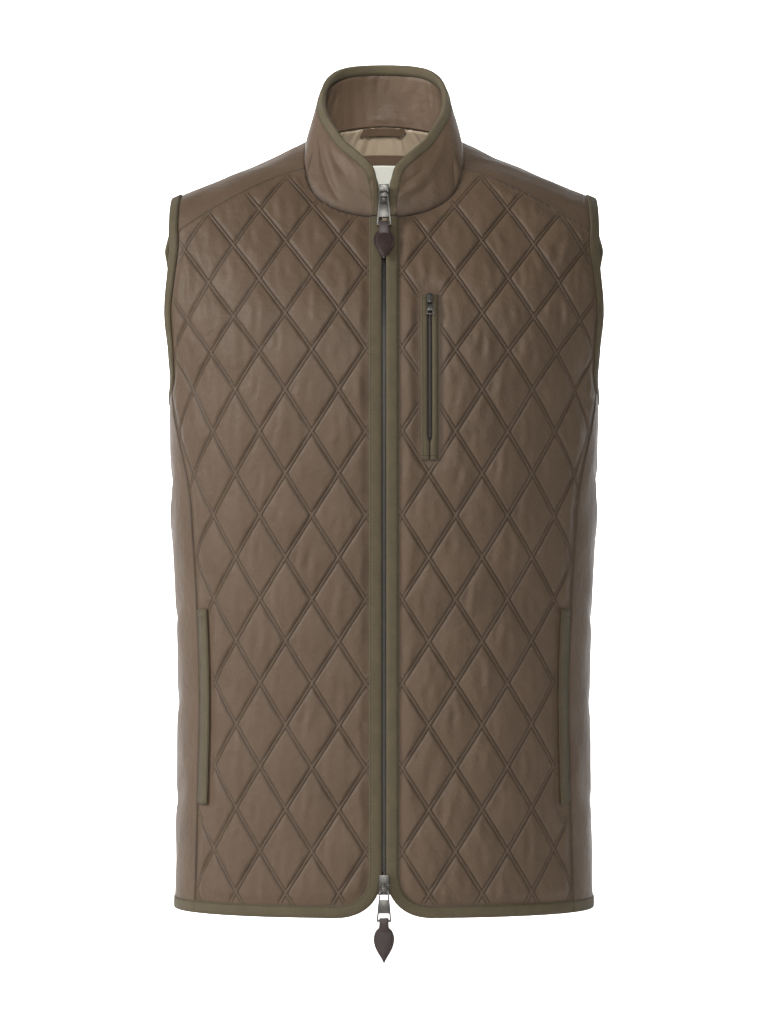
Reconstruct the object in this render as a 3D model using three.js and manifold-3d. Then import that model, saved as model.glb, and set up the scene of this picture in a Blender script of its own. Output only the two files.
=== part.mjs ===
// A quilted vest with a stand collar, filled out as if worn. Millimetres.
// X runs to the wearer's left, the front faces -Y and Z is up. The origin is the middle of the
// neck at the height of the shoulders, where a wearer carries the vest.
import * as THREE from "three";
import { mergeVertices } from "three/addons/utils/BufferGeometryUtils.js";
import Module from "manifold-3d";

const wasm = await Module();
wasm.setup();

// Body: level sections of the filled-out vest, from the hem to the shoulder
const SECTIONS = [
  { z: -745, half: 202.5, front: 127, back: 125 },
  { z: -610, half: 199, front: 126, back: 119 },
  { z: -520, half: 197.5, front: 126, back: 114 },
  { z: -430, half: 200, front: 127.5, back: 112 },
  { z: -350, half: 204, front: 130.5, back: 116 },
  { z: -262, half: 207, front: 132, back: 124 },
  { z: -225, half: 208, front: 130.5, back: 127 },
  { z: -203, half: 214.5, front: 128, back: 128 },
  { z: -165, half: 225, front: 120, back: 127.5 },
  { z: -130, half: 229, front: 106, back: 123 },
  { z: -84, half: 235, front: 80, back: 110 },
  { z: -50, half: 241, front: 57, back: 96 },
  { z: -15, half: 248, front: 30, back: 82 },
];
const SQUARENESS = 2.3;
const HEM_Z = -730.5;
const TOP_Z = -15;
const WALL_IN = 2.2;
const WALL_OUT = 0.25;
const VALLEY = 0.5;
const SEAM_GAP = 0.3;

// Front edge, neckline, shoulder and side seams
const EDGE_X = 4;
const NECK = { frontZ: -69, sideX: 76, sideZ: -20, squareness: 2.15 };
const SHOULDER_SEAM_CURVE = 1.35;
const CORNER = { across: 44, up: 42, squareness: 2.35 };
const BACK_YOKE_Z = -95;
const SIDE_SEAM = [
  { z: -745, ahead: 73, behind: 66 },
  { z: -350, ahead: 72, behind: 64 },
  { z: -322, ahead: 68, behind: 62 },
  { z: -298, ahead: 60, behind: 57 },
  { z: -271, ahead: 48, behind: 49 },
  { z: -245, ahead: 36, behind: 41 },
  { z: -220, ahead: 29, behind: 35 },
];

// Armhole as it shows from the side: how far it reaches forward and back, and its seam ends
const ARMHOLE = { z: -165, front: 54, back: 60, bottomZ: -238, topZ: -45, squareness: 3.1 };
const FRONT_ARM = { low: -226, high: -86 };
const BACK_ARM = { low: -224, high: BACK_YOKE_Z };
const SHOULDER = [
  { x: 204.5, y: -28, z: -60 },
  { x: 203.5, y: 3, z: -47 },
  { x: 205, y: 35, z: -63 },
];

// Neck seam and edge of the collar, from the centre front round to the centre back. The first rows
// give only x for the seam, which runs there along the fronts' neckline.
const COLLAR = [
  { x: 5.2, topX: 8, topY: -67, topZ: -36 },
  { x: 14, topX: 13, topY: -65, topZ: -21 },
  { x: 30, topX: 27, topY: -57.5, topZ: -6.5 },
  { x: 50, topX: 40, topY: -45, topZ: 5.5 },
  { x: 67, topX: 50, topY: -28, topZ: 21 },
  { x: 76, topX: 57, topY: -12, topZ: 34 },
  { x: 75, y: 6, z: 5, topX: 61, topY: 7, topZ: 50 },
  { x: 67, y: 36, z: 17, topX: 57, topY: 31, topZ: 70 },
  { x: 44, y: 62, z: 27, topX: 41, topY: 55, topZ: 84 },
  { x: 0, y: 77, z: 33, topX: 0, topY: 70, topZ: 89 },
];
const FIRST_FREE_ROW = 6;
const COLLAR_THICK = 3.6;
const COLLAR_BELLY = 2;

// Quilting: diamonds between crossing lines, flatter where they run into a seam
const QUILT = { wide: 50.8, tall: 79.2, frontStart: 17, up: 21, puff: 4.6, shoulder: 0.62, fade: 14 };

// Braid bound over the raw edges
const BRAID = { leg: 10, innerLeg: 8, thick: 1.1, edgeGap: 0.4, innerGap: 2 };
const ON_TOP = WALL_OUT + SEAM_GAP;

// Pockets on the fronts, in heights and distances across
const CHEST = { x: 43, topZ: -145, bottomZ: -301, lip: 5.7, slot: 4.6, lipThick: 1.5, room: 2.5 };
const HIP = { wide: 14, topZ: -443, bottomZ: -628, fromSeam: 1.6, thick: 2 };

// Front zip, its sliders and its pulls
const ZIP = { half: 2.2, thick: 2.2, tape: 12, tapeThick: 0.9, topZ: -56, bottomZ: -689 };
const SLIDER = { half: 5, tall: 19, plate: 2, front: 2.7, neckHalf: 1.9, neckBack: 4.2 };
const PIN = { radius: 1, half: 4.4, out: 7.5, ear: 1.3, clearance: 0.4 };
const TAB = { top: 4.4, bottom: 7.2, long: 34, thick: 1.8, window: 5.6, bar: 2.4 };
const LEAF = { neck: 4.6, neckLong: 8, thick: 2.6, overlap: 3 };
const LEAF_OUTLINE = [
  { down: 0, half: 4.6 },
  { down: 2.5, half: 7.4 },
  { down: 7, half: 9.3 },
  { down: 12, half: 9.7 },
  { down: 18, half: 8.4 },
  { down: 24, half: 5.5 },
  { down: 29, half: 2.4 },
  { down: 33, half: 0.5 },
];
const TOP_SLIDER = { pinZ: -44, pinDrop: 6.5, turn: 11.5, leafTurn: 33 };
const BOTTOM_SLIDER = { pinZ: -701, pinDrop: 10, turn: 1, leafTurn: 0 };
const CHEST_SLIDER = { scale: 0.5, out: 1.2, pinZ: -150, pinDrop: 12, turn: 3 };

const lerp = (a, b, t) => a + (b - a) * t;
const V = (x, y, z) => new THREE.Vector3(x, y, z);
const mix = (p, q, t) => p.clone().lerp(q, t);
const reversed = (list) => list.slice().reverse();
const steps = (count, make) => Array.from({ length: count + 1 }, (_, i) => make(i / count));

// A smooth curve through the rows of a table, read at a value of its z column
function readTable(rows, column, at) {
  const last = rows.length - 1;
  let i = 0;
  while (i < last - 1 && at > rows[i + 1].z) i++;
  const slope = (k) => {
    const a = rows[Math.max(k - 1, 0)];
    const b = rows[Math.min(k + 1, last)];
    return (b[column] - a[column]) / (b.z - a.z);
  };
  const [p, q] = [rows[i], rows[i + 1]];
  const span = q.z - p.z;
  const t = Math.min(1, Math.max(0, (at - p.z) / span));
  const rise = q[column] - p[column];
  const [m0, m1] = [slope(i) * span, slope(i + 1) * span];
  return p[column] + t * m0 + t * t * (3 * rise - 2 * m0 - m1) + t * t * t * (m0 + m1 - 2 * rise);
}

// A quarter of a level section, from the centre line to the side, with the length along it
const QUARTER_STEPS = 48;
const quarters = new Map();
function quarter(z, face) {
  const known = face + z.toFixed(3);
  if (quarters.has(known)) return quarters.get(known);
  const half = readTable(SECTIONS, "half", z);
  const depth = readTable(SECTIONS, face, z);
  const points = [];
  let length = 0;
  for (let i = 0; i <= QUARTER_STEPS; i++) {
    const angle = (i / QUARTER_STEPS) * (Math.PI / 2);
    const x = half * Math.sin(angle) ** (2 / SQUARENESS);
    const y = depth * Math.max(0, Math.cos(angle)) ** (2 / SQUARENESS);
    if (i) length += Math.hypot(x - points[i - 1].x, y - points[i - 1].y);
    points.push({ x, y, length, shallow: -y });
  }
  quarters.set(known, points);
  return points;
}
function along(rows, key, value) {
  let i = 1;
  while (i < rows.length - 1 && rows[i][key] < value) i++;
  const [a, b] = [rows[i - 1], rows[i]];
  const t = (value - a[key]) / (b[key] - a[key]);
  return { x: lerp(a.x, b.x, t), y: lerp(a.y, b.y, t), length: lerp(a.length, b.length, t) };
}
const quarterLength = (z, face) => quarter(z, face)[QUARTER_STEPS].length;

// The point of the body at a distance across from the centre line of the front or back
function sectionPoint(face, across, z) {
  const side = Math.sign(across) || 1;
  const facing = face === "front" ? -1 : 1;
  const length = quarterLength(z, face);
  const distance = Math.abs(across);
  if (distance <= length) {
    const p = along(quarter(z, face), "length", distance);
    return V(side * p.x, facing * p.y, z);
  }
  const other = face === "front" ? "back" : "front";
  const p = along(quarter(z, other), "length", quarterLength(z, other) + length - distance);
  return V(side * p.x, -facing * p.y, z);
}

// Length up the centre line of a face from the hem, and the height for such a length
const RISE_STEP = 3;
function riseRows(face) {
  const rows = [{ z: HEM_Z - 4 * RISE_STEP, up: -4 * RISE_STEP }];
  while (rows[rows.length - 1].z < TOP_Z) {
    const { z, up } = rows[rows.length - 1];
    const lean = readTable(SECTIONS, face, z + RISE_STEP) - readTable(SECTIONS, face, z);
    rows.push({ z: z + RISE_STEP, up: up + Math.hypot(RISE_STEP, lean) });
  }
  return rows;
}
const RISE = { front: riseRows("front"), back: riseRows("back") };
function readRise(face, from, to, value) {
  const rows = RISE[face];
  let i = 1;
  while (i < rows.length - 1 && rows[i][from] < value) i++;
  const t = (value - rows[i - 1][from]) / (rows[i][from] - rows[i - 1][from]);
  return lerp(rows[i - 1][to], rows[i][to], t);
}
const heightAt = (face, up) => readRise(face, "up", "z", up);
const upAt = (face, z) => readRise(face, "z", "up", z);

// A surface as a function of two distances, which gives a point out along the normal too
const PROBE = 0.5;
function surfaceOf(pointAt, facing) {
  return (a, b, out = 0) => {
    const da = pointAt(a + PROBE, b).sub(pointAt(a - PROBE, b));
    const db = pointAt(a, b + PROBE).sub(pointAt(a, b - PROBE));
    const normal = da.cross(db).normalize().multiplyScalar(facing);
    return { point: pointAt(a, b).addScaledVector(normal, out), normal };
  };
}
const BODY = {
  front: surfaceOf((a, b) => sectionPoint("front", a, heightAt("front", b)), 1),
  back: surfaceOf((a, b) => sectionPoint("back", a, heightAt("back", b)), -1),
};

// Seams and edges as lines on the body: distances across and up
const onFace = (face, across, z) => [across, upAt(face, z)];
const byX = (face, x, z) => onFace(face, along(quarter(z, face), "x", x).length, z);
const seamAcross = (z, face) =>
  quarterLength(z, face) - readTable(SIDE_SEAM, face === "front" ? "ahead" : "behind", z);
function armholeReach(z, face) {
  if (z < ARMHOLE.z) {
    const fall = (ARMHOLE.z - z) / (ARMHOLE.z - ARMHOLE.bottomZ);
    return ARMHOLE[face] * Math.sqrt(Math.max(0, 1 - fall * fall));
  }
  const climb = (z - ARMHOLE.z) / (ARMHOLE.topZ - ARMHOLE.z);
  return ARMHOLE[face] * Math.sqrt(Math.max(0, 1 - climb ** ARMHOLE.squareness));
}
const armPoint = (face, z) =>
  onFace(face, along(quarter(z, face), "shallow", -armholeReach(z, face)).length, z);

function edgeHeights() {
  const fine = steps(14, (s) => lerp(NECK.frontZ, -265, s));
  return fine.concat(steps(10, (s) => lerp(-265, HEM_Z + CORNER.up, s)).slice(1));
}
const cornerLine = steps(7, (s) => {
  const power = 2 / CORNER.squareness;
  const x = EDGE_X + CORNER.across * (1 - Math.max(0, Math.cos((s * Math.PI) / 2)) ** power);
  return byX("front", x, HEM_Z + CORNER.up * (1 - Math.sin((s * Math.PI) / 2) ** power));
});
const frontHemLine = steps(9, (s) => {
  const start = cornerLine[7][0];
  return onFace("front", lerp(start, seamAcross(HEM_Z, "front") - SEAM_GAP / 2, s), HEM_Z);
});
const frontEdgeLine = edgeHeights()
  .map((z) => byX("front", EDGE_X, z))
  .concat(cornerLine.slice(1), frontHemLine.slice(1));

const SIDE_HEIGHTS = [HEM_Z, -660, -590, -520, -450, -400, -360, -335, -310, -285, -262, -243];
function sideLine(face) {
  const low = face === "front" ? FRONT_ARM.low : BACK_ARM.low;
  return SIDE_HEIGHTS.concat(low).map((z) => {
    const across = z === low ? armPoint(face, z)[0] : seamAcross(z, face);
    return onFace(face, across - SEAM_GAP / 2, z);
  });
}
function armLine(face, ends, count) {
  const line = steps(count, (s) => armPoint(face, lerp(ends.low, ends.high, s)));
  return line.map(([a, b], i) => [i ? a : a - SEAM_GAP / 2, b]);
}
const side = { front: sideLine("front"), back: sideLine("back") };
const arm = { front: armLine("front", FRONT_ARM, 10), back: armLine("back", BACK_ARM, 9) };

const yokeEnd = BODY.front(...armPoint("front", FRONT_ARM.high)).point;
const YOKE_ROWS = 6;
const shoulderSeam = steps(YOKE_ROWS, (s) => {
  const x = lerp(NECK.sideX, yokeEnd.x, s);
  return byX("front", x, lerp(NECK.sideZ, FRONT_ARM.high, s ** SHOULDER_SEAM_CURVE));
});
const neckX = (share) =>
  EDGE_X + (NECK.sideX - EDGE_X) * Math.sin((share * Math.PI) / 2) ** (2 / NECK.squareness);
function neckHeight(x) {
  const aside = Math.max(0, (x - EDGE_X) / (NECK.sideX - EDGE_X)) ** NECK.squareness;
  const fall = Math.max(0, 1 - aside) ** (1 / NECK.squareness);
  return NECK.sideZ + (NECK.frontZ - NECK.sideZ) * fall;
}
const neckLine = steps(10, (s) => byX("front", neckX(1 - s), neckHeight(neckX(1 - s))));

// Solids in the flat, cut and joined there before they are laid on the body
function solidOf(geometry) {
  const bare = geometry.clone();
  bare.deleteAttribute("normal");
  bare.deleteAttribute("uv");
  const merged = mergeVertices(bare, 1e-4);
  const triVerts = new Uint32Array(merged.index.array);
  const faceID = Uint32Array.from({ length: triVerts.length / 3 }, (_, i) => i);
  const vertProperties = new Float32Array(merged.attributes.position.array);
  return new wasm.Manifold(new wasm.Mesh({ numProp: 3, vertProperties, triVerts, faceID }));
}
function geometryOf(points, faces) {
  const geometry = new THREE.BufferGeometry();
  const flat = points.flatMap((p) => [p.x, p.y, p.z]);
  geometry.setAttribute("position", new THREE.Float32BufferAttribute(flat, 3));
  geometry.setIndex(faces);
  return geometry;
}
// A closed geometry with its faces turned out
function closed(points, faces) {
  let volume = 0;
  for (let i = 0; i < faces.length; i += 3) {
    const [a, b, c] = [points[faces[i]], points[faces[i + 1]], points[faces[i + 2]]];
    volume += a.dot(b.clone().cross(c));
  }
  const geometry = geometryOf(points, volume < 0 ? reversed(faces) : faces);
  geometry.computeVertexNormals();
  return geometry;
}
function prism(outline, low, high) {
  const shape = new THREE.Shape(outline.map(([a, b]) => new THREE.Vector2(a, b)));
  const made = new THREE.ExtrudeGeometry(shape, { depth: high - low, bevelEnabled: false });
  return solidOf(made.translate(0, 0, low));
}
// The flat direction to the left of a line's travel, at each of its points
function leftOf(line) {
  return line.map((_, i) => {
    const a = line[Math.max(i - 1, 0)];
    const b = line[Math.min(i + 1, line.length - 1)];
    const length = Math.hypot(b[0] - a[0], b[1] - a[1]);
    return [-(b[1] - a[1]) / length, (b[0] - a[0]) / length];
  });
}

// A solid with one section carried along rings of points. Opposite faces of the section are split
// along like diagonals, so that a thin wall doesn't cross itself where it twists.
function sweepSolid(rings, section, looped = false) {
  const count = section.length;
  const faces = [];
  const last = looped ? rings.length : rings.length - 1;
  for (let i = 0; i < last; i++)
    for (let k = 0; k < count; k++) {
      const m = (k + 1) % count;
      const next = ((i + 1) % rings.length) * count;
      const [a, b, c, d] = [i * count + k, i * count + m, next + m, next + k];
      const [[d0, o0], [d1, o1]] = [section[k], section[m]];
      const forwards = d1 > d0 || (d1 === d0 && o1 > o0);
      if (forwards) faces.push(a, b, d, b, c, d);
      else faces.push(a, b, c, a, c, d);
    }
  const points = rings.flat();
  if (looped) return closed(points, faces);
  const flat = section.map(([d, o]) => new THREE.Vector2(d, o));
  const end = (rings.length - 1) * count;
  const ahead = THREE.ShapeUtils.area(flat) > 0;
  for (const [a, b, c] of THREE.ShapeUtils.triangulateShape(flat, [])) {
    const same = THREE.ShapeUtils.area([flat[a], flat[b], flat[c]]) > 0 === ahead;
    const [p, q] = same ? [b, c] : [c, b];
    faces.push(a, q, p, end + a, end + p, end + q);
  }
  return closed(points, faces);
}
// A station on a surface: its point, a direction along the surface and its normal
function station(surface, [a, b], [da, db], sign = 1) {
  const { point, normal } = surface(a, b);
  const inward = surface(a + da * PROBE, b + db * PROBE).point.sub(point).normalize();
  for (const v of [point, inward, normal]) v.x *= sign;
  return { point, inward, normal };
}
const stations = (surface, line, sign = 1) =>
  line.map((at, i) => station(surface, at, leftOf(line)[i], sign));
const ringAt = ({ point, inward, normal }, section) =>
  section.map(([d, o]) => point.clone().addScaledVector(inward, d).addScaledVector(normal, o));
function carried(along3d, section, looped = false) {
  const rings = along3d.map((station) => ringAt(station, section));
  return sweepSolid(rings, section, looped);
}
// A box section between two distances and two heights
const slat = (d0, d1, o0, o1) => [[d0, o0], [d1, o0], [d1, o1], [d0, o1]];

const ROOM_HEIGHT = 30;
// The room over a strip beside a line, cut from a quilted slab to leave a flat floor
function roomOver(line, left, right, sign = 1) {
  const normals = leftOf(line);
  const section = slat(-right, left, WALL_OUT, ROOM_HEIGHT);
  const rings = line.map(([a, b], i) =>
    section.map(([d, o]) =>
      V(sign * (a + normals[i][0] * d), b + normals[i][1] * d, o),
    ),
  );
  return solidOf(sweepSolid(rings, section));
}

// Distance of a point in from an outline
function depthInside(outline, a, b) {
  let nearest = Infinity;
  let inside = false;
  outline.forEach(([a0, b0], k) => {
    const [a1, b1] = outline[(k + 1) % outline.length];
    const [da, db] = [a1 - a0, b1 - b0];
    const t = ((a - a0) * da + (b - b0) * db) / (da * da + db * db);
    const u = Math.min(1, Math.max(0, t));
    nearest = Math.min(nearest, Math.hypot(a - a0 - u * da, b - b0 - u * db));
    if (b0 > b !== b1 > b && a < a0 + ((b - b0) / db) * da) inside = !inside;
  });
  return inside ? nearest : 0;
}
// A slab with quilting on its outer side. Its points stand in columns half a diamond apart: where
// lines cross, at the middle of each diamond, and halfway between those. Cells span two points up.
function quiltSlab(outline, start) {
  const [wide, step] = [QUILT.wide / 2, QUILT.tall / 4];
  const across = outline.map(([a]) => (a - start) / wide);
  const up = outline.map(([, b]) => (b - QUILT.up) / step / 2);
  const [i0, i1] = [Math.floor(Math.min(...across)), Math.ceil(Math.max(...across))];
  const [j0, j1] = [2 * Math.floor(Math.min(...up)), 2 * Math.ceil(Math.max(...up))];
  const crossing = (i, j) => (2 * i + 2 + j) % 4 === 0;
  const points = [];
  const index = new Map();
  const at = (i, j, outer) => {
    const key = `${i} ${j} ${outer}`;
    if (!index.has(key)) {
      index.set(key, points.length);
      const [a, b] = [start + i * wide, QUILT.up + j * step];
      const fullness = j % 2 ? QUILT.shoulder : crossing(i, j) ? 0 : 1;
      const near = Math.min(1, depthInside(outline, a, b) / QUILT.fade);
      points.push(V(a, b, outer ? VALLEY + QUILT.puff * fullness * near : -WALL_IN));
    }
    return index.get(key);
  };
  const faces = [];
  const rim = (i, j, di, dj) => {
    const near = [0, 1, 2].map((k) => at(i + k * di, j + k * dj, 1));
    const far = [0, 2].map((k) => at(i + k * di, j + k * dj));
    faces.push(far[0], far[1], near[1], far[0], near[1], near[0], far[1], near[2], near[1]);
  };
  for (let j = j0; j < j1; j += 2) {
    for (let i = i0; i < i1; i++) {
      const [a, b, n] = [at(i, j, 1), at(i + 1, j, 1), at(i + 1, j + 1, 1)];
      const [c, d, m] = [at(i + 1, j + 2, 1), at(i, j + 2, 1), at(i, j + 1, 1)];
      if (crossing(i, j)) faces.push(a, b, n, a, n, c, a, c, m, c, d, m);
      else faces.push(a, b, m, m, b, d, b, n, d, n, c, d);
      const [e, f, g, h] = [at(i, j), at(i, j + 2), at(i + 1, j + 2), at(i + 1, j)];
      faces.push(e, f, g, e, g, h);
    }
    rim(i1, j, 0, 1);
    rim(i0, j + 2, 0, -1);
  }
  for (let i = i0; i < i1; i++) {
    faces.push(at(i, j0), at(i + 1, j0), at(i + 1, j0, 1), at(i, j0), at(i + 1, j0, 1), at(i, j0, 1));
    faces.push(at(i + 1, j1), at(i, j1), at(i, j1, 1), at(i + 1, j1), at(i, j1, 1), at(i + 1, j1, 1));
  }
  return solidOf(geometryOf(points, faces));
}
function laidOn(surface, solid, sign = 1) {
  const mesh = solid.getMesh();
  const points = [];
  for (let i = 0; i < mesh.numVert; i++) {
    const [a, b, out] = mesh.vertProperties.slice(i * mesh.numProp, i * mesh.numProp + 3);
    const { point } = surface(a, b, out);
    points.push(V(sign * point.x, point.y, point.z));
  }
  return closed(points, [...mesh.triVerts]);
}

// A wall between an outer and an inner grid of points
function wall(columns, rows, pointAt) {
  const points = [];
  for (const inner of [0, 1])
    for (let j = 0; j <= rows; j++)
      for (let i = 0; i <= columns; i++) points.push(pointAt(i / columns, j / rows, inner));
  const half = (columns + 1) * (rows + 1);
  const at = (i, j, inner) => (inner ? half : 0) + j * (columns + 1) + i;
  const faces = [];
  const quad = (a, b, c, d) => faces.push(a, b, c, a, c, d);
  for (let j = 0; j < rows; j++)
    for (let i = 0; i < columns; i++) {
      quad(at(i, j), at(i + 1, j), at(i + 1, j + 1), at(i, j + 1));
      quad(at(i, j, 1), at(i, j + 1, 1), at(i + 1, j + 1, 1), at(i + 1, j, 1));
    }
  for (let i = 0; i < columns; i++) {
    quad(at(i, 0, 1), at(i + 1, 0, 1), at(i + 1, 0), at(i, 0));
    quad(at(i + 1, rows, 1), at(i, rows, 1), at(i, rows), at(i + 1, rows));
  }
  for (let j = 0; j < rows; j++) {
    quad(at(columns, j, 1), at(columns, j + 1, 1), at(columns, j + 1), at(columns, j));
    quad(at(0, j + 1, 1), at(0, j, 1), at(0, j), at(0, j + 1));
  }
  return closed(points, faces);
}

const BROWN = new THREE.MeshStandardMaterial({ color: "#6c5d4e", roughness: 0.5 });
const OLIVE = new THREE.MeshStandardMaterial({ color: "#5e553f", roughness: 0.8 });
const PALE = new THREE.MeshStandardMaterial({ color: "#9c8d7b", roughness: 0.4 });
const CREAM = new THREE.MeshStandardMaterial({ color: "#e6e6da", roughness: 0.7 });
const DARK = new THREE.MeshStandardMaterial({ color: "#2b2320", roughness: 0.8 });
const METAL = new THREE.MeshStandardMaterial({ color: "#8b8a86", roughness: 0.35, metalness: 1 });
const LEATHER = new THREE.MeshStandardMaterial({ color: "#35241f", roughness: 0.5 });
const SIDES = [["right", -1], ["left", 1]];

const vest = new THREE.Group();
function add(name, geometry, material) {
  const mesh = new THREE.Mesh(geometry, material);
  mesh.name = name;
  vest.add(mesh);
  return mesh;
}

// Fronts
const chestCentre = along(quarter(-220, "front"), "x", CHEST.x).length;
const chestLine = steps(7, (s) => onFace("front", chestCentre, lerp(CHEST.topZ, CHEST.bottomZ, s)));
const hipLine = steps(6, (s) => {
  const z = lerp(HIP.bottomZ, HIP.topZ, s);
  return onFace("front", seamAcross(z, "front") - HIP.fromSeam, z);
});
const lengthened = (line, by) => {
  const left = leftOf(line);
  const ends = [line[0], line[line.length - 1]];
  const [n0, n1] = [left[0], left[line.length - 1]];
  const first = [ends[0][0] - n0[1] * by, ends[0][1] + n0[0] * by];
  const after = [ends[1][0] + n1[1] * by, ends[1][1] - n1[0] * by];
  return [first, ...line, after];
};
const BRAID_ROOM = { in: BRAID.leg + 0.6, out: 9 };
const ARM_ROOM = { in: BRAID.leg + 3, out: 9 };

function quiltedFront(sign) {
  const outline = [
    ...frontEdgeLine,
    ...side.front.slice(1),
    ...arm.front.slice(1),
    ...shoulderSeam.slice(0, -1).reverse(),
    ...neckLine.slice(1, -1),
  ];
  let solid = quiltSlab(outline, QUILT.frontStart).intersect(prism(outline, -10, 20));
  const rooms = [
    roomOver(lengthened(frontEdgeLine, 2), BRAID_ROOM.in, BRAID_ROOM.out),
    roomOver(lengthened(arm.front, ARM_ROOM.in), ARM_ROOM.in, ARM_ROOM.out),
    roomOver(lengthened(hipLine, 2), HIP.wide + 1.5, 9),
  ];
  const chestRoom = CHEST.lip + CHEST.slot / 2 + CHEST.room;
  if (sign > 0) rooms.push(roomOver(lengthened(chestLine, CHEST.room), chestRoom, chestRoom));
  for (const room of rooms) solid = solid.subtract(room);
  return laidOn(BODY.front, solid, sign);
}
for (const [name, sign] of SIDES) add(`front_${name}`, quiltedFront(sign), BROWN);

// Back
const backTopLine = steps(8, (s) => {
  const [a, b] = armPoint("back", BACK_ARM.high);
  return [lerp(a, 0, s), b - SEAM_GAP];
});
const backHemLine = steps(16, (s) => [lerp(0, side.back[0][0], s), 0]);
function quiltedBack() {
  const half = [...backHemLine, ...side.back.slice(1), ...arm.back.slice(1, -1), ...backTopLine];
  const outline = [...half, ...half.slice(1, -1).map(([a, b]) => [-a, b]).reverse()];
  let solid = quiltSlab(outline, 0).intersect(prism(outline, -10, 20));
  const wide = (line) => line.slice().reverse().map(([a, b]) => [-a, b]).concat(line.slice(1));
  const hem = wide(backHemLine);
  const rooms = [roomOver(lengthened(hem, 20), BRAID_ROOM.in, BRAID_ROOM.out)];
  for (const sign of [1, -1])
    rooms.push(roomOver(lengthened(arm.back, ARM_ROOM.in), ARM_ROOM.in, ARM_ROOM.out, sign));
  for (const room of rooms) solid = solid.subtract(room);
  return laidOn(BODY.back, solid);
}
add("back", quiltedBack(), BROWN);

// Side panels, from the front seam round to the back seam
const SIDE_COLUMNS = 7;
function sideAcross(z, share) {
  const front = seamAcross(z, "front") + SEAM_GAP / 2;
  const whole = quarterLength(z, "front") + quarterLength(z, "back");
  return lerp(front, whole - seamAcross(z, "back") - SEAM_GAP / 2, share);
}
function sideTop(share) {
  const reachFront = armholeReach(FRONT_ARM.low, "front");
  const reachBack = armholeReach(BACK_ARM.low, "back");
  const y = lerp(-reachFront, reachBack, share);
  const reach = y < 0 ? ARMHOLE.front : ARMHOLE.back;
  const z = ARMHOLE.z - (ARMHOLE.z - ARMHOLE.bottomZ) * Math.sqrt(1 - (y / reach) ** 2);
  const whole = quarterLength(z, "front") + quarterLength(z, "back");
  const nearer = along(quarter(z, y < 0 ? "front" : "back"), "shallow", -Math.abs(y)).length;
  const trim = share === 0 ? SEAM_GAP / 2 : share === 1 ? -SEAM_GAP / 2 : 0;
  return { z, across: (y < 0 ? nearer : whole - nearer) + trim };
}
const sideTops = steps(SIDE_COLUMNS, sideTop);
// A panel point by its share across and its row; the last height dips where the armhole is lowest
function sidePoint(share, row) {
  const top = sideTops[Math.round(share * SIDE_COLUMNS)];
  const last = SIDE_HEIGHTS.length - 1;
  if (row > last) return [top.across, upAt("front", top.z)];
  const height = SIDE_HEIGHTS[row];
  const dipped = Math.min(height, lerp(SIDE_HEIGHTS[last - 1], top.z, 0.5));
  return onFace("front", sideAcross(height, share), row === last ? dipped : height);
}
for (const [name, sign] of SIDES) {
  const rows = SIDE_HEIGHTS.length;
  const geometry = wall(SIDE_COLUMNS, rows, (s, t, inner) => {
    const { point } = BODY.front(...sidePoint(s, Math.round(t * rows)), inner ? -WALL_IN : WALL_OUT);
    return V(sign * point.x, point.y, point.z);
  });
  add(`side_${name}`, geometry, BROWN);
}

// Yokes and back yoke in one piece, from the neck seam out to the armholes and the back seam
const YOKE_TURN = 14 / 30;
const YOKE_NECK_TURN = 0.3;
const YOKE_BELLY = 7;
const JOIN_GAP = 0.6;
const baseAt = (row) =>
  row.z === undefined
    ? BODY.front(...byX("front", row.x, neckHeight(row.x))).point
    : V(row.x, row.y, row.z);
const flipped = (p) => V(-p.x, p.y, p.z);
const bothSides = (points) => points.concat(points.slice(0, -1).reverse().map(flipped));
const neckCurve = new THREE.CatmullRomCurve3(
  bothSides(COLLAR.slice(FIRST_FREE_ROW - 1).map(baseAt)),
);
const seamStations = stations(BODY.front, shoulderSeam.slice().reverse()).reverse();
const armBack = armPoint("back", BACK_ARM.high);
const armCurve = new THREE.CatmullRomCurve3([
  seamStations[YOKE_ROWS].point,
  ...SHOULDER.map(({ x, y, z }) => V(x, y, z)),
  BODY.back(armBack[0], armBack[1] + JOIN_GAP).point,
]);
function yokeAt(s, t) {
  const half = 2 * Math.min(s, 1 - s);
  const toBack = Math.max(0, (half - YOKE_TURN) / (1 - YOKE_TURN));
  const toArm = Math.min(1, half / YOKE_TURN);
  const inner = neckCurve.getPointAt(
    toBack ? lerp(YOKE_NECK_TURN, 0.5, toBack) : lerp(0, YOKE_NECK_TURN, toArm),
  );
  const outer = toBack
    ? BODY.back(lerp(armBack[0], 0, toBack), armBack[1] + JOIN_GAP).point
    : armCurve.getPointAt(toArm);
  const p = mix(inner, outer, t);
  const row = Math.min(YOKE_ROWS - 1, Math.floor(t * YOKE_ROWS));
  const seam = mix(seamStations[row].point, seamStations[row + 1].point, t * YOKE_ROWS - row);
  const ends = mix(seamStations[0].point, seamStations[YOKE_ROWS].point, t);
  p.addScaledVector(seam.sub(ends), Math.max(0, 1 - 2.2 * toArm));
  p.add(V(0, 1, 0.35).multiplyScalar(YOKE_BELLY * 4 * t * (1 - t) * Math.max(0, 2 * toArm - 1)));
  return s > 0.5 ? flipped(p) : p;
}
const YOKE_PROBE = 0.004;
function yokeSurface(s, t, out = 0) {
  const ds = yokeAt(Math.min(1, s + YOKE_PROBE), t).sub(yokeAt(Math.max(0, s - YOKE_PROBE), t));
  const dt = yokeAt(s, Math.min(1, t + 0.03)).sub(yokeAt(s, Math.max(0, t - 0.03)));
  const normal = dt.cross(ds).normalize();
  return { point: yokeAt(s, t).addScaledVector(normal, out), normal };
}
const YOKE_COLUMNS = 30;
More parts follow.
